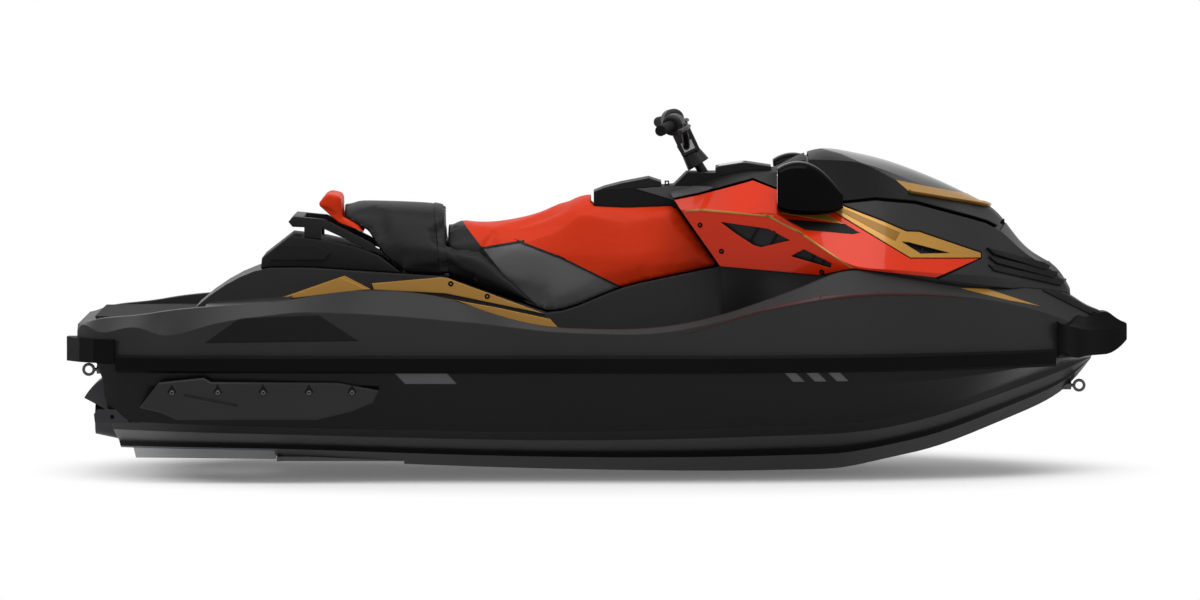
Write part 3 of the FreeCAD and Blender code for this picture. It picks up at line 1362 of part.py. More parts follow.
skin = loft(pedestal_stations, wide_pedestal_section).cut(loft(pedestal_stations, pedestal_section))
moulding_outlines = [
    [(-21.5, 36), (-15, 39), (-14.4, 38.6), (-5.2, 21.4), (-14.6, 31.3), (-21.3, 33)],
    [(-30.4, 28), (-24.4, 39), (-21.9, 33.1)],
    [(-15.8, 30), (-9.5, 24.2), (-4.7, 18.9), (-3.6, 12.8), (-6, 14.5), (-9.5, 19.7), (-13.3, 27.5)],
]
mouldings = []
for outline in moulding_outlines:
    moulding = skin.common(prism(deck_outline(outline), 0, half_beam)).cut(deck)
    mouldings.append(one_solid(moved(moulding, dy=size.seat_gap)))
add_shape("pedestal_trim_left", Part.makeCompound(mouldings))
add_shape("pedestal_trim_right", mirrored(Part.makeCompound(mouldings)))

doc.recompute()
for item in doc.Objects:
    if "Invalid" in item.State or "Error" in item.State:
        raise RuntimeError(f"{item.Label} failed to compute")
os.makedirs("parts", exist_ok=True)
for name, item in nodes.items():
    if item.Shape.isNull() or not item.Shape.isValid():
        raise RuntimeError(f"{name} has no valid shape")
    item.Shape.exportStep(f"parts/{name}.step")
    print(name, len(item.Shape.Solids), round(item.Shape.Volume / 1e6, 2))
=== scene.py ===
import math
import bpy
import numpy as np
from mathutils import Matrix, Vector


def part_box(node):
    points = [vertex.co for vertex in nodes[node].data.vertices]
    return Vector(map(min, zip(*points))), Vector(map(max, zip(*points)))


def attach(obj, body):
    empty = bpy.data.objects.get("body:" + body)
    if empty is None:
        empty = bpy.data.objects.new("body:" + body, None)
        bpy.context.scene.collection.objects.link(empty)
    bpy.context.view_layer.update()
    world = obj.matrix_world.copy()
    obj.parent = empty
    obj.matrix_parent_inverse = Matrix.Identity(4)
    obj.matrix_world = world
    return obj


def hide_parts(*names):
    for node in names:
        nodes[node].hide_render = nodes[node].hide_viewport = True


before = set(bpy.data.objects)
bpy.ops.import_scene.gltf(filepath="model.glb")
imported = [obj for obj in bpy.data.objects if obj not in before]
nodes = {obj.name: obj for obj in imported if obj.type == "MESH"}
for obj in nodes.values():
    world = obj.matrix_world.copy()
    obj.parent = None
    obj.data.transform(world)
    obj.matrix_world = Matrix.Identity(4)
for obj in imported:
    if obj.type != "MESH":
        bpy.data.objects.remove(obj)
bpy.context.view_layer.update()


# Hull
# The bottom half of the craft: a V-shaped shell of glass fibre and resin, laid up in a polished
# mould, so that its black gel coat is glossy with a faint ripple. Grey slashes are laid on its side.
class Wire:
    """One output in a node tree. Sums and products of wires and numbers add their Math nodes."""

    def __init__(self, finish, socket):
        self.finish = finish
        self.socket = socket

    def math(self, operation, *values):
        return self.finish.node("ShaderNodeMath", {"operation": operation}, dict(enumerate(values)))

    def __add__(self, other):
        return self.math("ADD", self, other)

    def __mul__(self, other):
        return self.math("MULTIPLY", self, other)

    __radd__ = __add__
    __rmul__ = __mul__

    def most(self, other):
        return self.math("MAXIMUM", self, other)

    def wave(self):
        return self.math("SINE", self)


class Finish:
    """A new material, read from the place on the object, or the nodes of another owner such as a world."""

    def __init__(self, name, owner=None, shader="Principled BSDF"):
        self.material = owner or bpy.data.materials.new(name)
        self.material.use_nodes = True
        self.tree = self.material.node_tree
        self.shader = self.tree.nodes[shader]
        self.place = self.node("ShaderNodeTexCoord", output="Object")

    def feed(self, socket, value):
        if isinstance(value, Wire):
            self.tree.links.new(value.socket, socket)
        else:
            socket.default_value = value

    def node(self, kind, settings=None, inputs=None, output=0):
        made = self.tree.nodes.new(kind)
        for key, value in (settings or {}).items():
            setattr(made, key, value)
        for key, value in (inputs or {}).items():
            self.feed(made.inputs[key], value)
        return Wire(self, made.outputs[output])

    def surface(self, **sockets):
        for key, value in sockets.items():
            self.feed(self.shader.inputs[key.replace("_", " ")], value)

    def noise(self, scale, detail=3.0, place=None):
        inputs = {"Vector": place or self.place, "Scale": scale, "Detail": detail}
        return self.node("ShaderNodeTexNoise", None, inputs)

    def pebbles(self, scale):
        return self.node("ShaderNodeTexVoronoi", None, {"Vector": self.place, "Scale": scale}, "Distance")

    def axis(self, letter):
        return self.node("ShaderNodeSeparateXYZ", None, {"Vector": self.place}, letter)

    def stretched(self, x, y, z):
        return self.node("ShaderNodeMapping", None, {"Vector": self.place, "Scale": (x, y, z)})

    def rise(self, value, low, high):
        inputs = {"Value": value, "From Min": low, "From Max": high}
        return self.node("ShaderNodeMapRange", {"interpolation_type": "SMOOTHSTEP"}, inputs)

    def mix(self, share, first, second):
        inputs = {0: share, 6: first, 7: second}
        return self.node("ShaderNodeMix", {"data_type": "RGBA"}, inputs, 2)

    def relief(self, height, depth, rounding):
        """A bump of that depth in metres, on edges that take the light as if rounded."""
        edges = self.node("ShaderNodeBevel", {"samples": 4}, {"Radius": rounding})
        inputs = {"Height": height, "Distance": depth, "Normal": edges}
        return self.node("ShaderNodeBump", None, inputs)


def shades(colour, spread):
    """A darker and a lighter shade of a colour."""
    dark = tuple(part * (1 - spread) for part in colour) + (1,)
    light = tuple(part * (1 + spread) for part in colour) + (1,)
    return dark, light


def gel_coat(name, colour, roughness, level):
    """Polished gel coat: its tone drifts over the shell, with a faint ripple and fine polishing haze."""
    made = Finish(name)
    drift = made.noise(1.8, 3.0)
    ripple = made.noise(55, 2.0)
    haze = made.noise(260, 4.0)
    dark, light = shades(colour, 0.25)
    made.surface(
        Base_Color=made.mix(drift, dark, light),
        Roughness=drift * 0.08 + haze * 0.08 + (roughness - 0.08),
        Normal=made.relief(ripple, 0.0004, 0.006),
        Specular_IOR_Level=level,
    )
    return made


def dress(finish, *names):
    """Gives carried-over parts their finish."""
    for name in names:
        nodes[name].data.materials.clear()
        nodes[name].data.materials.append(finish.material)


def open_mesh(piece):
    """Makes a piece the active one and opens its mesh with all of it selected."""
    bpy.ops.object.select_all(action="DESELECT")
    piece.select_set(True)
    bpy.context.view_layer.objects.active = piece
    bpy.ops.object.mode_set(mode="EDIT")
    bpy.ops.mesh.select_mode(type="FACE")
    bpy.ops.mesh.select_all(action="SELECT")


def close_mesh():
    bpy.ops.object.mode_set(mode="OBJECT")


def pick_faces(piece, wanted):
    """Leaves the open mesh with only those faces selected for which wanted(face) holds."""
    bpy.ops.mesh.select_mode(type="FACE")
    bpy.ops.mesh.select_all(action="DESELECT")
    close_mesh()
    for face in piece.data.polygons:
        face.select = wanted(face)
    bpy.ops.object.mode_set(mode="EDIT")


def modify(piece, kind, **settings):
    """Adds a modifier to the active piece and applies it."""
    modifier = piece.modifiers.new(kind.title(), kind)
    for key, value in settings.items():
        setattr(modifier, key, value)
    bpy.ops.object.modifier_apply(modifier=modifier.name)


def copied_skin(name, source):
    """A new piece from another's own surface, its loose triangles joined, open for editing."""
    piece = bpy.data.objects.new(name, source.data.copy())
    bpy.context.scene.collection.objects.link(piece)
    open_mesh(piece)
    bpy.ops.mesh.customdata_custom_splitnormals_clear()
    bpy.ops.mesh.remove_doubles(threshold=0.00002)
    return piece


def skin_piece(name, source, outline, proud, unwanted):
    """A thin piece on another: its skin inside an outline seen from the side, made proud of it."""
    piece = copied_skin(name, source)
    for (x0, z0), (x1, z1) in zip(outline, outline[1:] + outline[:1]):
        bpy.ops.mesh.select_all(action="SELECT")
        bpy.ops.mesh.bisect(plane_co=(x0, 0, z0), plane_no=(z1 - z0, 0, x0 - x1), clear_outer=True)
    pick_faces(piece, unwanted)
    bpy.ops.mesh.delete(type="FACE")
    close_mesh()
    sunk = 0.0006
    modify(piece, "SOLIDIFY", thickness=proud + sunk, offset=1 - 2 * sunk / (proud + sunk))
    bpy.ops.object.shade_smooth_by_angle(angle=math.radians(30))
    return piece


def mirrored(piece, name):
    """The same piece for the port side."""
    twin = bpy.data.objects.new(name, piece.data.copy())
    bpy.context.scene.collection.objects.link(twin)
    open_mesh(twin)
    bpy.ops.transform.resize(value=(1, -1, 1), center_override=(0, 0, 0))
    bpy.ops.mesh.flip_normals()
    close_mesh()
    return twin


def fit(piece, body, finish):
    """Gives a finished piece its material and fixes it to the body that it moves with."""
    piece.data.materials.clear()
    piece.data.materials.append(finish.material)
    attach(piece, body)


def fit_pair(piece, name, body, finish):
    """Fits a starboard piece and its twin to port."""
    twin = mirrored(piece, name + "_left")
    piece.name = name + "_right"
    fit(piece, body, finish)
    fit(twin, body, finish)


def lay_pair(name, source, outline, proud, finish, body="craft", reach=(0.0, 9.0)):
    """A thin piece on the starboard side of a panel, so far from the centre, and its twin to port."""
    nearest, farthest = reach
    piece = skin_piece(
        name, source, outline, proud,
        lambda face: face.normal.y > -0.04 or not nearest < -face.center.y < farthest,
    )
    fit_pair(piece, name, body, finish)


hull_coat = gel_coat("hull_gel_coat", (0.005, 0.005, 0.0054), 0.3, 0.13)
dress(hull_coat, "hull")

slash_film = gel_coat("slash_film", (0.085, 0.085, 0.09), 0.4, 0.3)
film = 0.0005
slash_low, slash_high = 0.046, 0.0985
slash_slant, slash_width = 0.05, 0.036
for number, back in enumerate((0.546, 0.614, 0.682), 1):
    front = back + slash_slant
    outline = [(front, slash_low), (front + slash_width, slash_low)]
    outline += [(back + slash_width, slash_high), (back, slash_high)]
    lay_pair(f"hull_slash_{number}", nodes["hull"], outline, film, slash_film)
rear_flash = [(-0.6012, 0.041), (-0.4409, 0.041), (-0.494, 0.0985), (-0.655, 0.0985)]
lay_pair("hull_flash", nodes["hull"], rear_flash, film, slash_film)

# Deck
# The top half: a second glass-fibre shell, bonded to the hull under the bumper, in a satin
# black-grey gel coat. Gold flashes are laid on the quarters and the bow, and a dark red line along
# the flare.
deck_coat = gel_coat("deck_gel_coat", (0.0205, 0.0205, 0.0213), 0.42, 0.13)
dress(deck_coat, "deck")


def painted(name, colour, deep, flakes, metallic, coat):
    """Metallic paint under clear lacquer: fine flakes painted lighter as a glint, a deeper tone drifting
    through, a glossy coat.
    """
    made = Finish(name)
    drift = made.noise(2.2, 3.0)
    flake = made.pebbles(1400)
    peel = made.noise(120, 2.0)
    tone = made.mix(drift, shades(deep, 0.1)[1], shades(colour, 0.05)[1])
    # the flakes take a lighter copy of the paint colour: a painted glint
    painted_glint = shades(colour, 0.35)[1]
    made.surface(
        Base_Color=made.mix(made.rise(flake, 0.28, 0.5) * flakes, tone, painted_glint),
        Metallic=metallic,
        Roughness=drift * 0.06 + flake * 0.1 + 0.24,
        Normal=made.relief(peel, 0.00012, 0.004),
        Coat_Weight=coat,
        Coat_Roughness=0.06,
        Specular_IOR_Level=0.3 * coat,
    )
    return made


gold_paint = painted("gold_paint", (0.34, 0.175, 0.03), (0.25, 0.12, 0.017), 0.46, 0.4, 0.3)
gold_quarter = [(-0.9944, 0.2888), (-0.7126, 0.3146), (-0.797, 0.3576)]
leaf = 0.0008
pedestal_side = (0.15, 0.32)
lay_pair(
    "gold_quarter", nodes["deck"], gold_quarter, leaf, gold_paint, reach=pedestal_side
)
gold_bow = [(1.1192, 0.3235), (1.2667, 0.2838), (1.374, 0.2605), (1.2055, 0.3185)]
lay_pair("gold_bow_flash", nodes["deck"], gold_bow, leaf, gold_paint)
facet_film = gel_coat("facet_film", (0.004, 0.004, 0.0045), 0.45, 0.12)
dark_facet = [(-1.2181, 0.1668), (-0.744, 0.1733), (-0.8675, 0.2529), (-1.1103, 0.2436)]
outer_side = (0.3, 0.7)
lay_pair("stern_facet", nodes["deck"], dark_facet, film, facet_film, reach=outer_side)
bow_panel = [(1.3836, 0.306), (1.54, 0.226), (1.5576, 0.232), (1.4, 0.322)]
lay_pair("bow_deck_blade", nodes["deck"], bow_panel, 0.003, facet_film)


def ribbon(points):
    """Outlines of a line's straight runs, from each point's x and the line's lower and upper z there."""
    return [
        [(x0, low0), (x1, low1), (x1, high1), (x0, high0)]
        for (x0, low0, high0), (x1, low1, high1) in zip(points, points[1:])
    ]


flare_film = gel_coat("flare_film", (0.036, 0.007, 0.0065), 0.36, 0.2)
flare_line = [(0.278, 0.197, 0.199), (0.5031, 0.263, 0.273), (0.6819, 0.296, 0.31)]
flare_line += [(0.8573, 0.308, 0.32), (1.0062, 0.306, 0.314), (1.1254, 0.295, 0.297)]
for number, outline in enumerate(ribbon(flare_line), 1):
    name = f"flare_line_{number}"
    lay_pair(name, nodes["deck"], outline, film, flare_film, reach=outer_side)


# Bumpers
# Rubbing strips of black synthetic rubber along the bond line, with moulded corner and bow caps
# that cover the strips' ends. All of it is screwed through the bond flange.
def rubbery(name, colour, roughness, grain):
    """Satin rubber or soft plastic: a fine even grain, with paler scuffs along the edges."""
    made = Finish(name)
    drift = made.noise(4, 3.0)
    grains = made.pebbles(grain)
    streak = made.noise(18, 5.0, made.stretched(0.15, 1, 3))
    dark, light = shades(colour, 0.2)
    scuff = tuple(part * 2.2 for part in colour) + (1,)
    made.surface(
        Base_Color=made.mix(made.rise(streak, 0.6, 0.78) * 0.35, made.mix(drift, dark, light), scuff),
        Roughness=streak * 0.14 + (roughness - 0.06),
        Normal=made.relief(grains, 0.00025, 0.003),
        Specular_IOR_Level=0.04,
    )
    return made


bumper_rubber = rubbery("bumper_rubber", (0.0035, 0.0035, 0.0037), 0.45, 900)
dress(bumper_rubber, "bumper_rail_left", "bumper_rail_right", "bow_bumper")
dress(bumper_rubber, "stern_bumper_left", "stern_bumper_right")


# Sponsons
# Moulded black fins bolted to the hull's sides near the stern. Five stainless bolts sit in
# arrow-shaped pockets, above a slot for the height setting.
def grained(name, colour, roughness, grain, depth, level=0.3):
    """Moulded plastic with a pebbled grain: the tone drifts a little and the grain dulls the light."""
    made = Finish(name)
    drift = made.noise(3, 3.0)
    grains = made.pebbles(grain)
    fine = made.noise(grain * 1.7, 3.0)
    dark, light = shades(colour, 0.22)
    made.surface(
        Base_Color=made.mix(drift * 0.7 + grains * 0.3, dark, light),
        Roughness=grains * 0.1 + fine * 0.08 + (roughness - 0.07),
        Normal=made.relief(grains + fine * 0.3, depth, 0.003),
        Specular_IOR_Level=level,
    )
    return made


sponson_plastic = grained("sponson_plastic", (0.016, 0.016, 0.017), 0.48, 700, 0.0002, 0.2)
dress(sponson_plastic, "sponson_left", "sponson_right")


def metal(name, colour, roughness, grain, stretch=(1, 1, 1)):
    """Bare or painted metal: fine brushed or cast grain and slight tarnish."""
    made = Finish(name)
    tarnish = made.noise(9, 4.0)
    lines = made.noise(grain, 4.0, made.stretched(*stretch))
    dark, light = shades(colour, 0.14)
    made.surface(
        Base_Color=made.mix(tarnish * 0.6 + lines * 0.4, dark, light),
        Metallic=1.0,
        Roughness=lines * 0.16 + tarnish * 0.08 + (roughness - 0.12),
        Normal=made.relief(lines, 0.00012, 0.001),
    )
    return made


bolt_steel = metal("bolt_steel", (0.09, 0.09, 0.095), 0.4, 900)


def screw_head(radius, height, socket):
    """The pattern of a round screw head with a socket, made once at the origin and facing up."""
    bpy.ops.object.select_all(action="DESELECT")
    bpy.ops.mesh.primitive_cylinder_add(vertices=24, radius=radius, depth=height, location=(0, 0, 0))
    head = bpy.context.object
    open_mesh(head)
    pick_faces(head, lambda face: face.normal.z > 0.9)
    bpy.ops.mesh.inset(thickness=radius * 0.2)
    bpy.ops.transform.translate(value=(0, 0, height * 0.3))
    bpy.ops.mesh.inset(thickness=radius * 0.8 - socket)
    bpy.ops.mesh.extrude_region_move(TRANSFORM_OT_translate={"value": (0, 0, -height * 0.7)})
    close_mesh()
    modify(head, "BEVEL", width=radius * 0.08, segments=2, limit_method="ANGLE")
    bpy.ops.object.shade_smooth_by_angle(angle=math.radians(35))
    return head


def screw_pair(pattern, name, panel, x, z, finish):
    """A copy of a pattern where a line from starboard at x and z meets a panel, and its twin to port."""
    _, place, facing, _ = nodes[panel].ray_cast((x, -2, z), (0, 1, 0))
    sunk = 0.001
    piece = bpy.data.objects.new(name, pattern.data.copy())
    bpy.context.scene.collection.objects.link(piece)
    turn = facing.to_track_quat("Z", "Y").to_matrix().to_4x4()
    piece.data.transform(Matrix.Translation(place - facing * sunk) @ turn)
    fit_pair(piece, name, "craft", finish)


sponson_bolt = screw_head(0.0075, 0.006, 0.003)
bolt_level = 0.015
# Each arrow-shaped pocket is a flat film, darker than the fin, laid on it: painted shade for the pocket
painted_pocket_shade = grained("painted_pocket_shade", (0.004, 0.004, 0.0042), 0.6, 700, 0.0001, 0.1)
half_pocket, pocket_height = 0.015, 0.025
for number, x in enumerate((-1.3195, -1.1781, -1.0379, -0.8967, -0.7642), 1):
    screw_pair(sponson_bolt, f"sponson_bolt_{number}", "sponson_right", x, bolt_level, bolt_steel)
    arrow = [(x - half_pocket, bolt_level), (x + half_pocket, bolt_level), (x, bolt_level + pocket_height)]
    name = f"sponson_pocket_{number}"
    lay_pair(name, nodes["sponson_right"], arrow, 0.0003, painted_pocket_shade)
bpy.data.objects.remove(sponson_bolt)

# Jet drive
# A cast aluminium pump casing and venturi, painted grey, with a trim ring, steering nozzle and
# reverse gate on bolted pivots behind it, a stainless impeller on its shaft, and a plate below. The
# eyes and plates at the hull's corners are bolted steel.
pump_casting = metal("pump_casting", (0.36, 0.365, 0.38), 0.42, 420)
dress(pump_casting, "pump_housing", "venturi")
gate_casting = metal("gate_casting", (0.05, 0.05, 0.053), 0.45, 420)
dress(gate_casting, "trim_ring", "steering_nozzle", "reverse_gate")
polished_steel = metal("polished_steel", (0.6, 0.6, 0.62), 0.26, 300, (6, 1, 1))
dress(polished_steel, "impeller", "drive_shaft")
eye_steel = metal("eye_steel", (0.07, 0.07, 0.073), 0.38, 300)
dress(eye_steel, "bow_eye", "stern_eye_left", "stern_eye_right", "tow_eye")
plate_metal = metal("plate_metal", (0.5, 0.505, 0.52), 0.42, 260, (0.2, 3, 3))
dress(plate_metal, "ride_plate")
grate_metal = metal("grate_metal", (0.12, 0.12, 0.125), 0.42, 260, (0.2, 3, 3))
dress(grate_metal, "intake_grate")
stern_plate_metal = metal("stern_plate_metal", (0.035, 0.035, 0.037), 0.4, 500)
dress(stern_plate_metal, "stern_plate_left", "stern_plate_right")


# Mats
# Closed-cell foam mats glued down in the footwells and on the platform, milled with fine grooves
# for grip. The grooves run along the craft.
def ribbed_foam(name, colour, pitch):
    """Foam cut by grooves: a dull cell texture, and grooves along the craft a pitch apart, with painted
    shade darkening the groove floors.
    """
    made = Finish(name)
    cells = made.pebbles(1100)
    groove = made.rise((made.axis("Y") * (2 * math.pi / pitch)).wave(), -0.9, -0.55)
    drift = made.noise(7, 3.0)
    dark, light = shades(colour, 0.25)
    # the groove floors take a darker copy of the foam's colour: painted shade in the grooves
    floor = tuple(part * 0.35 for part in colour) + (1,)
    made.surface(
        Base_Color=made.mix(groove, floor, made.mix(drift, dark, light)),
        Roughness=cells * 0.12 + 0.8,
        Normal=made.relief(groove + cells * 0.15, 0.0016, 0.002),
        Specular_IOR_Level=0.2,
    )
    return made


mat_foam = ribbed_foam("mat_foam", (0.030, 0.030, 0.032), 0.011)
dress(mat_foam, "footwell_mat_left", "footwell_mat_right", "platform_mat")

# Pedestal mouldings
# Gold-painted plastic trims along the foot of the seat, each held by two black screws.
dress(gold_paint, "pedestal_trim_left", "pedestal_trim_right")
black_screw = metal("black_screw", (0.006, 0.006, 0.0063), 0.4, 900)
trim_screw = screw_head(0.0085, 0.004, 0.003)
for number, (x, z) in enumerate(((-0.4652, 0.3331), (-0.3514, 0.2939)), 1):
    screw_pair(trim_screw, f"pedestal_screw_{number}", "pedestal_trim_right", x, z, black_screw)

# Seat support and grab handle
# A moulded black bracket behind the seat, and the passenger's handle bolted through it, in black
# glass-filled nylon with a satin grain.
handle_nylon = grained("handle_nylon", (0.005, 0.005, 0.0053), 0.42, 800, 0.00015, 0.2)
support_plastic = grained("support_plastic", (0.007, 0.007, 0.0074), 0.5, 700, 0.0002, 0.15)


def rounded(name, source, width, body, finish):
    """A moulded piece in place of a plain one, its long edges rolled over as they leave the mould."""
    piece = copied_skin(name, nodes[source])
    close_mesh()
    modify(piece, "BEVEL", width=width, segments=3, limit_method="ANGLE", angle_limit=math.radians(40))
    bpy.ops.object.shade_smooth_by_angle(angle=math.radians(35))
    fit(piece, body, finish)
    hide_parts(source)


rounded("handle_moulding", "grab_handle", 0.006, "craft", handle_nylon)
rounded("support_moulding", "seat_support", 0.009, "craft", support_plastic)
support_step = [(-1.03, 0.405), (-0.86, 0.405), (-0.84, 0.43), (-0.9, 0.452), (-1.0, 0.452)]
lay_pair("support_step", nodes["seat_support"], support_step, 0.006, support_plastic)


# Seats
# Foam cushions on plastic bases under stretched marine vinyl. The driver's seat is orange red, grey
# below a seam and charcoal at the back, the passenger's is charcoal with a strap, its tail red.
def vinyl(name, colour, deep, roughness, level):
    """Marine vinyl: a leather-like grain with pores, soft stretch marks, and a tone that drifts."""
    made = Finish(name)
    drift = made.noise(3, 3.0)
    grain = made.pebbles(520)
    pores = made.noise(900, 4.0)
    stretch = made.noise(26, 3.0, made.stretched(1, 0.4, 1.6))
    tone = made.mix(drift, deep + (1,), colour + (1,))
    made.surface(
        Base_Color=made.mix(made.rise(grain, 0.0, 0.35) * 0.5 + 0.5, shades(deep, 0.2)[0], tone),
        Roughness=grain * 0.1 + stretch * 0.12 + (roughness - 0.1),
        Normal=made.relief(grain * 0.7 + pores * 0.2 + stretch * 1.2, 0.0005, 0.002),
        Specular_IOR_Level=level,
    )
    return made


red_vinyl = vinyl("red_vinyl", (0.66, 0.034, 0.0015), (0.56, 0.025, 0.001), 0.46, 0.14)
charcoal_vinyl = vinyl("charcoal_vinyl", (0.007, 0.007, 0.0072), (0.0055, 0.0055, 0.0057), 0.42, 0.14)
grey_vinyl = vinyl("grey_vinyl", (0.11, 0.11, 0.111), (0.095, 0.095, 0.096), 0.55, 0.2)


def vertex_rows(piece, what):
    """A row of three numbers for each vertex of a piece: its place or its normal."""
    rows = np.zeros(len(piece.data.vertices) * 3)
    piece.data.vertices.foreach_get(what, rows)
    return rows.reshape(-1, 3)


def cushion(name, source, voxel, ease, swell):
    """Foam under a tight cover: the solid drawn in a little, then blown out as cloth, within a limit."""
    piece = copied_skin(name, nodes[source])
    bpy.ops.transform.shrink_fatten(value=-ease)
    close_mesh()
    modify(piece, "REMESH", mode="VOXEL", voxel_size=voxel, use_smooth_shade=True)
    modify(piece, "SMOOTH", factor=0.5, iterations=10)
    rest = vertex_rows(piece, "co")
    normals = vertex_rows(piece, "normal")
    settled = 20
    cloth = piece.modifiers.new("Cover", "CLOTH")
    cloth.settings.use_pressure = True
    cloth.settings.uniform_pressure_force = 4
    cloth.settings.effector_weights.gravity = 0
    for number in range(1, settled + 1):
        bpy.context.scene.frame_set(number)
    bpy.ops.object.modifier_apply(modifier=cloth.name)
    bpy.context.scene.frame_set(1)
    moved = vertex_rows(piece, "co") - rest
    length = np.linalg.norm(moved, axis=1)[:, None]
    moved *= np.minimum(1.0, swell / np.maximum(length, 1e-9))
    # the base stays flat, and the ends stay clear of what they meet
    hold = np.clip((normals[:, 2:3] + 0.75) / 0.5, 0, 1)
    hold *= np.clip((0.92 - np.abs(normals[:, 0:1])) / 0.3, 0.1, 1)
    piece.data.vertices.foreach_set("co", (rest + moved * hold).ravel())
    piece.data.update()
    return piece


def parted(piece, lines, below):
    """Cuts a cover along seam lines and gives the faces that lie below all of them another finish."""
    open_mesh(piece)
    for (x0, z0), (x1, z1) in lines:
        bpy.ops.mesh.select_all(action="SELECT")
        bpy.ops.mesh.bisect(plane_co=(x0, 0, z0), plane_no=(z1 - z0, 0, x0 - x1))
    close_mesh()
    piece.data.materials.append(below.material)
    for face in piece.data.polygons:
        x, _, z = face.center
        if all((z - z0) * (x1 - x0) < (z1 - z0) * (x - x0) for (x0, z0), (x1, z1) in lines):
            face.material_index = len(piece.data.materials) - 1


driver_seat = cushion("driver_cushion", "driver_seat", 0.008, 0.005, 0.009)
fit(driver_seat, "driver_seat", red_vinyl)
seam_points = [(-0.3625, 0.4409), (-0.2501, 0.4591), (-0.1219, 0.4115), (0.07, 0.3167)]
parted(driver_seat, list(zip(seam_points, seam_points[1:])), grey_vinyl)
parted(driver_seat, [((-0.483, 0.585), (-0.361, 0.433))], charcoal_vinyl)
piping_vinyl = vinyl("piping_vinyl", (0.009, 0.009, 0.0093), (0.007, 0.007, 0.0073), 0.45, 0.15)
half_piping = 0.003
seam_line = [(x, z - half_piping, z + half_piping) for x, z in seam_points]
for number, outline in enumerate(ribbon(seam_line), 1):
    name = f"seat_piping_{number}"
    lay_pair(name, driver_seat, outline, 0.002, piping_vinyl, "driver_seat")
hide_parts("driver_seat")

passenger_seat = cushion("passenger_cushion", "passenger_seat", 0.008, 0.005, 0.009)
fit(passenger_seat, "passenger_seat", charcoal_vinyl)
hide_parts("passenger_seat")
strap_line = [(-0.4994, 0.371), (-0.4744, 0.371), (-0.4985, 0.6), (-0.5235, 0.6)]
strap = skin_piece("seat_strap", passenger_seat, strap_line, 0.003, lambda face: face.normal.z < -0.3)
fit(strap, "passenger_seat", piping_vinyl)

seat_tail = cushion("tail_bolster", "seat_tail", 0.006, 0.004, 0.007)
fit(seat_tail, "passenger_seat", red_vinyl)
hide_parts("seat_tail")

# Console and glovebox
# The moulded cover between the seat and the bars, in grained black plastic, with a hinged glovebox
# lid in its column and the glazed gauge housing ahead of the bars.
console_plastic = grained("console_plastic", (0.006, 0.006, 0.0064), 0.5, 700, 0.0002, 0.1)
dress(console_plastic, "console")
console_side = [(0.1002, 0.6272), (0.2372, 0.5863), (0.3064, 0.6078), (0.3528, 0.6309), (0.2111, 0.6315)]
side_grey = grained("side_grey", (0.055, 0.055, 0.057), 0.45, 700, 0.0002)
lay_pair("console_side", nodes["console"], console_side, 0.002, side_grey)
cover_plastic = grained("cover_plastic", (0.006, 0.006, 0.0064), 0.46, 800, 0.00015, 0.16)
dress(cover_plastic, "glovebox_lid", "gauge_cluster")
dial = copied_skin("dial_glass", nodes["gauge_cluster"])
pick_faces(dial, lambda face: not (-0.3 < face.normal.x < -0.08 and face.normal.z > 0.9))
bpy.ops.mesh.delete(type="FACE")
close_mesh()
corners = vertex_rows(dial, "co")
middle = tuple((corners.min(axis=0) + corners.max(axis=0)) / 2)
open_mesh(dial)
bpy.ops.transform.resize(value=(0.82, 0.86, 0.82), center_override=middle)
close_mesh()
modify(dial, "SOLIDIFY", thickness=0.003, offset=0.6)
dial_glass = gel_coat("dial_glass", (0.004, 0.005, 0.006), 0.12, 0.5)
fit(dial, "craft", dial_glass)

# Side panels
# Orange-red painted plastic fairings either side of the steering, each with two louvred vents and
# a gold stripe along its crease, and held by black screws.
red_paint = painted("red_paint", (0.6, 0.026, 0.001), (0.48, 0.017, 0.0006), 0.28, 0.05, 0.25)
dress(red_paint, "side_panel_left", "side_panel_right")
vent_black = grained("vent_black", (0.004, 0.004, 0.0042), 0.55, 700, 0.0002, 0.15)


def lined(name, outline, finish):
    """Gives the faces of a part inside an outline seen from the side another finish."""
    mesh = nodes[name].data
    mesh.materials.append(finish.material)
    edges = list(zip(outline, outline[1:] + outline[:1]))
    for face in mesh.polygons:
        x, _, z = face.center
        if all((x1 - x0) * (z - z0) - (z1 - z0) * (x - x0) > -1e-6 for (x0, z0), (x1, z1) in edges):
            face.material_index = len(mesh.materials) - 1


def side_outline(points):
    """Outline in metres, the other way round, from hundredths of the craft's length and deck height."""
    bond_level, length_part, height_part = 0.101, 0.0331, 0.00646
    return [(length_part * x, bond_level + height_part * z) for x, z in reversed(points)]


large_vent = [(11.2, 66.4), (15.9, 63.5), (17.9, 57.9), (15.1, 54.2), (14.3, 55.2), (12.7, 60.6)]
small_vent = [(17.8, 50.2), (19.1, 53.9), (21.8, 47.1), (21.7, 44.7)]
for outline in (large_vent, small_vent):
    for panel in ("side_panel_left", "side_panel_right"):
        lined(panel, side_outline(outline), vent_black)

crease_line = [(0.2708, 0.5583, 0.5643), (0.3235, 0.5625, 0.5685), (0.5213, 0.5466, 0.5526)]
crease_line += [(0.6199, 0.4957, 0.5037), (0.7743, 0.3924, 0.397)]
gold_wedge = [(0.5585, 0.5593), (0.7545, 0.5243), (0.6623, 0.5806)]
side_panel = nodes["side_panel_right"]
for number, outline in enumerate(ribbon(crease_line) + [gold_wedge], 1):
    lay_pair(f"panel_stripe_{number}", side_panel, outline, 0.001, gold_paint)
panel_dark = [(0.5756, 0.5404), (0.6356, 0.5076), (0.7808, 0.4941), (0.807, 0.4981), (0.7592, 0.5242)]
lay_pair("panel_patch", side_panel, panel_dark, leaf, vent_black)
for number, (x, z) in enumerate(((0.3111, 0.5186), (0.3779, 0.4373), (0.6884, 0.3774)), 1):
    screw_pair(trim_screw, f"panel_screw_{number}", "side_panel_right", x, z, black_screw)
bpy.data.objects.remove(trim_screw)

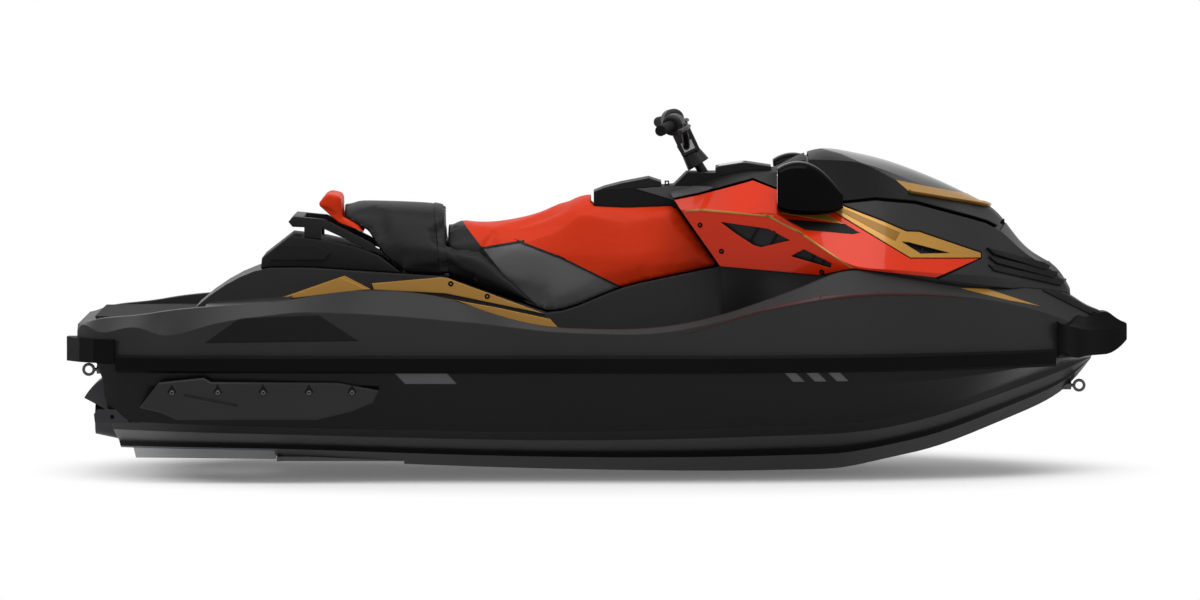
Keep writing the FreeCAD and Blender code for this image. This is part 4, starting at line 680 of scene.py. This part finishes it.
# Bow trim
# A gold-painted frame let into the fairing ahead of the side panel, round a dark intake.
dress(gold_paint, "bow_trim_left", "bow_trim_right")
# A darker copy of the gold paint is laid in the channel inside the frame: painted shade on its inner faces
painted_shade_gold = painted("painted_shade_gold", (0.2, 0.1, 0.018), (0.15, 0.075, 0.012), 0.4, 0.3, 0.2)
channel = side_outline([(21.9, 73.2), (22.5, 73.6), (28.2, 61.2), (27.7, 57.4)])
lay_pair("bow_trim_painted_shade", nodes["bow_trim_right"], channel, 0.0004, painted_shade_gold)
trim_vent = [(28.2, 57.1), (29, 56.7), (33, 51.2), (30.1, 51.1)]
for trim in ("bow_trim_left", "bow_trim_right"):
    lined(trim, side_outline(trim_vent), vent_black)

# Bow fairing
# Satin black panels that run forward beside the hood to the layered blades at the nose.
dress(deck_coat, "bow_fairing_left", "bow_fairing_right")
for number, rise in enumerate((0.0, 0.024, 0.048), 1):
    outline = [(1.23, 0.372 + rise), (1.44 - rise, 0.318 + rise)]
    outline += [(1.46 - rise, 0.334 + rise), (1.21, 0.392 + rise)]
    proud = 0.003 + number * 0.002
    name = f"nose_blade_{number}"
    lay_pair(name, nodes["bow_fairing_right"], outline, proud, facet_film)

# Hood and deflector
# The front storage lid in satin black, with a glossy black wind deflector on its crest that is
# banded in gold at its front edge.
hood_satin = gel_coat("hood_satin", (0.0035, 0.0035, 0.0038), 0.36, 0.07)
dress(hood_satin, "hood")


def lacquered(name, colour, roughness, coat):
    """High-gloss black plastic under lacquer, with a slight orange peel."""
    made = Finish(name)
    drift = made.noise(3, 3.0)
    peel = made.noise(90, 2.0)
    dark, light = shades(colour, 0.3)
    made.surface(
        Base_Color=made.mix(drift, dark, light),
        Roughness=drift * 0.06 + (roughness - 0.03),
        Normal=made.relief(peel, 0.00015, 0.004),
        Specular_IOR_Level=0.6 * coat,
        Coat_Weight=coat,
        Coat_Roughness=0.05,
    )
    return made


gloss_black = lacquered("gloss_black", (0.006, 0.006, 0.0065), 0.22, 0.35)
dress(gloss_black, "hood_deflector")
lip_line = [(0.9596, 0.6082), (1.2251, 0.5543), (1.232, 0.5663), (0.9596, 0.6212)]
deflector = nodes["hood_deflector"]
lip = skin_piece("deflector_lip", deflector, lip_line, 0.009, lambda face: face.normal.z < 0.05)
fit(lip, "hood", gold_paint)
gold_edge = [(0.9169, 0.6543), (0.9596, 0.6182), (1.225, 0.5643), (1.15, 0.6051), (0.9829, 0.641)]
lay_pair("deflector_band", deflector, gold_edge, 0.001, gold_paint, "hood")

# Mirrors
# Glossy black housings on the shoulders of the hood, each with a silvered glass let into its back.
mirror_black = lacquered("mirror_black", (0.001, 0.001, 0.0011), 0.2, 0.04)
dress(mirror_black, "mirror_left", "mirror_right")
glass = copied_skin("mirror_glass", nodes["mirror_right"])
pick_faces(glass, lambda face: face.normal.x > -0.97)
bpy.ops.mesh.delete(type="FACE")
close_mesh()
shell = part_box("mirror_right")
open_mesh(glass)
middle = [(low + high) / 2 for low, high in zip(*shell)]
bpy.ops.transform.resize(value=(1, 0.86, 0.86), center_override=middle)
close_mesh()
modify(glass, "SOLIDIFY", thickness=0.0015, offset=-0.2)
silvered = metal("silvered_glass", (0.75, 0.76, 0.78), 0.14, 60)
fit_pair(glass, "mirror_glass", "craft", silvered)

# Bars
# A black painted steel handlebar in a moulded riser, with ribbed rubber grips, switch pods and hand
# levers. A moulded cover with an alloy adjuster plate on each side closes round the column.
bar_paint = grained("bar_paint", (0.006, 0.006, 0.0063), 0.38, 900, 0.0001, 0.2)
dress(bar_paint, "handlebar", "steering_neck", "switch_pod_left", "switch_pod_right")
grip_rubber = rubbery("grip_rubber", (0.008, 0.008, 0.0083), 0.6, 500)
dress(grip_rubber, "grip_left", "grip_right")
bpy.ops.object.select_all(action="DESELECT")
bpy.ops.mesh.primitive_cylinder_add(
    vertices=20, radius=0.0065, depth=0.03, location=(0.268, -0.245, 0.826), rotation=(math.pi / 2, 0, 0)
)
lever = bpy.context.object
bpy.ops.object.transform_apply(location=True, rotation=True, scale=True)
open_mesh(lever)
pick_faces(lever, lambda face: face.normal.y < -0.9)
for step in ((0.008, -0.03, 0.0), (-0.01, -0.045, -0.006), (-0.02, -0.045, -0.008)):
    bpy.ops.mesh.extrude_region_move(TRANSFORM_OT_translate={"value": step})
bpy.ops.mesh.extrude_region_move(TRANSFORM_OT_translate={"value": (0.003, -0.008, -0.001)})
close_mesh()
modify(lever, "BEVEL", width=0.002, segments=3, limit_method="ANGLE")
bpy.ops.object.shade_smooth_by_angle(angle=math.radians(40))
fit_pair(lever, "hand_lever", "steering", bar_paint)

column_rake = math.radians(25)
up_column = Vector((-math.sin(column_rake), 0, math.cos(column_rake)))
bpy.ops.object.select_all(action="DESELECT")
bpy.ops.mesh.primitive_cube_add(
    size=1, location=(0.266, 0, 0.776), rotation=(0, -column_rake, 0), scale=(0.06, 0.07, 0.1)
)
cover = bpy.context.object
bpy.ops.object.transform_apply(location=True, rotation=True, scale=True)
open_mesh(cover)
pick_faces(cover, lambda face: face.normal.dot(up_column) > 0.9)
bpy.ops.mesh.extrude_region_move(TRANSFORM_OT_translate={"value": up_column * 0.022})
bpy.ops.transform.resize(value=(0.62, 0.8, 0.62))
pick_faces(cover, lambda face: abs(face.normal.y) > 0.9)
bpy.ops.mesh.inset(thickness=0.012)
bpy.ops.transform.resize(value=(1, 0.88, 1))
close_mesh()
modify(cover, "BEVEL", width=0.006, segments=3, limit_method="ANGLE")
bpy.ops.object.shade_smooth_by_angle(angle=math.radians(40))
cover.name = "column_cover"
fit(cover, "steering", bar_paint)
plate_line = [(0.2666, 0.7367), (0.2956, 0.7501), (0.2838, 0.7755), (0.2548, 0.7621)]
adjuster_alloy = metal("adjuster_alloy", (0.3, 0.3, 0.31), 0.4, 300)
lay_pair("adjuster_plate", cover, plate_line, 0.0015, adjuster_alloy, "steering")

# Engine and storage bin
# The engine stands on two cross feet in its bay under the seats, painted grey. The bin under the
# hood is a black moulded tub.
engine_paint = grained("engine_paint", (0.16, 0.16, 0.165), 0.5, 300, 0.0006, 0.5)
dress(engine_paint, "engine")
bin_plastic = grained("bin_plastic", (0.018, 0.018, 0.019), 0.5, 600, 0.0002)
dress(bin_plastic, "storage_bin")

# Studio
# A white sweep on which the keel stands, lit by a wide soft box overhead and even light all round.
# The camera looks square on the starboard side from about three degrees above.
keel_level = -0.268


def white_view(finish, level):
    """The level where the camera, a reflection or clear material sees a surface, 0 for its light."""
    direct, glossy, clear = (
        finish.node("ShaderNodeLightPath", output=f"Is {kind} Ray")
        for kind in ("Camera", "Glossy", "Transmission")
    )
    return direct.most(glossy).most(clear) * level


bpy.ops.object.select_all(action="DESELECT")
bpy.ops.mesh.primitive_circle_add(vertices=96, radius=9, fill_type="NGON", location=(0, 0, keel_level))
floor = bpy.context.object
floor.name = "studio_floor"
floor_paint = Finish("floor_paint")
floor_paint.surface(Base_Color=(0.86, 0.86, 0.86, 1), Roughness=0.9, Specular_IOR_Level=0.1)
shade_length, shade_width = 1.6, 1.15
fade_start, fade_end = 0.78, 1.15
oval = floor_paint.stretched(1 / shade_length, 1 / shade_width, 0)
reach = floor_paint.node("ShaderNodeVectorMath", {"operation": "LENGTH"}, {0: oval}, "Value")
far = floor_paint.rise(reach, fade_start, fade_end)
plain_white = (1, 1, 1, 1)
white = floor_paint.node("ShaderNodeEmission", None, {"Color": plain_white, "Strength": 1.0})
pale = {"Color": plain_white, "Strength": white_view(floor_paint, 0.12)}
lift = floor_paint.node("ShaderNodeEmission", None, pale)
painted_floor = Wire(floor_paint, floor_paint.shader.outputs[0])
near = floor_paint.node("ShaderNodeAddShader", None, {0: painted_floor, 1: lift})
blend = {0: far * white_view(floor_paint, 1.0), 1: near, 2: white}
ground = floor_paint.node("ShaderNodeMixShader", None, blend)
floor_paint.feed(floor_paint.tree.nodes["Material Output"].inputs["Surface"], ground)
floor.data.materials.append(floor_paint.material)

bpy.ops.object.light_add(type="AREA", location=(0.2, -1.4, 3.4), rotation=(math.radians(20), 0, 0))
soft_box = bpy.context.object
soft_box.data.shape = "RECTANGLE"
soft_box.data.size = 4.6
soft_box.data.size_y = 1.8
soft_box.data.energy = 95

world = bpy.data.worlds.new("studio")
bpy.context.scene.world = world
room = Finish("studio", world, "Background")
room.surface(Color=plain_white, Strength=white_view(room, 0.5) + 0.5)

distance, aim_height, view_width = 30.0, 0.2695, 3.772
tilt = math.radians(3)
bpy.ops.object.camera_add(
    location=(0, -distance * math.cos(tilt), aim_height + distance * math.sin(tilt)),
    rotation=(math.radians(90) - tilt, 0, 0),
)
camera = bpy.context.object
camera.data.sensor_width = 36
camera.data.lens = camera.data.sensor_width * distance / view_width
camera.data.clip_end = 200
bpy.context.scene.camera = camera
bpy.context.scene.view_settings.view_transform = "Standard"
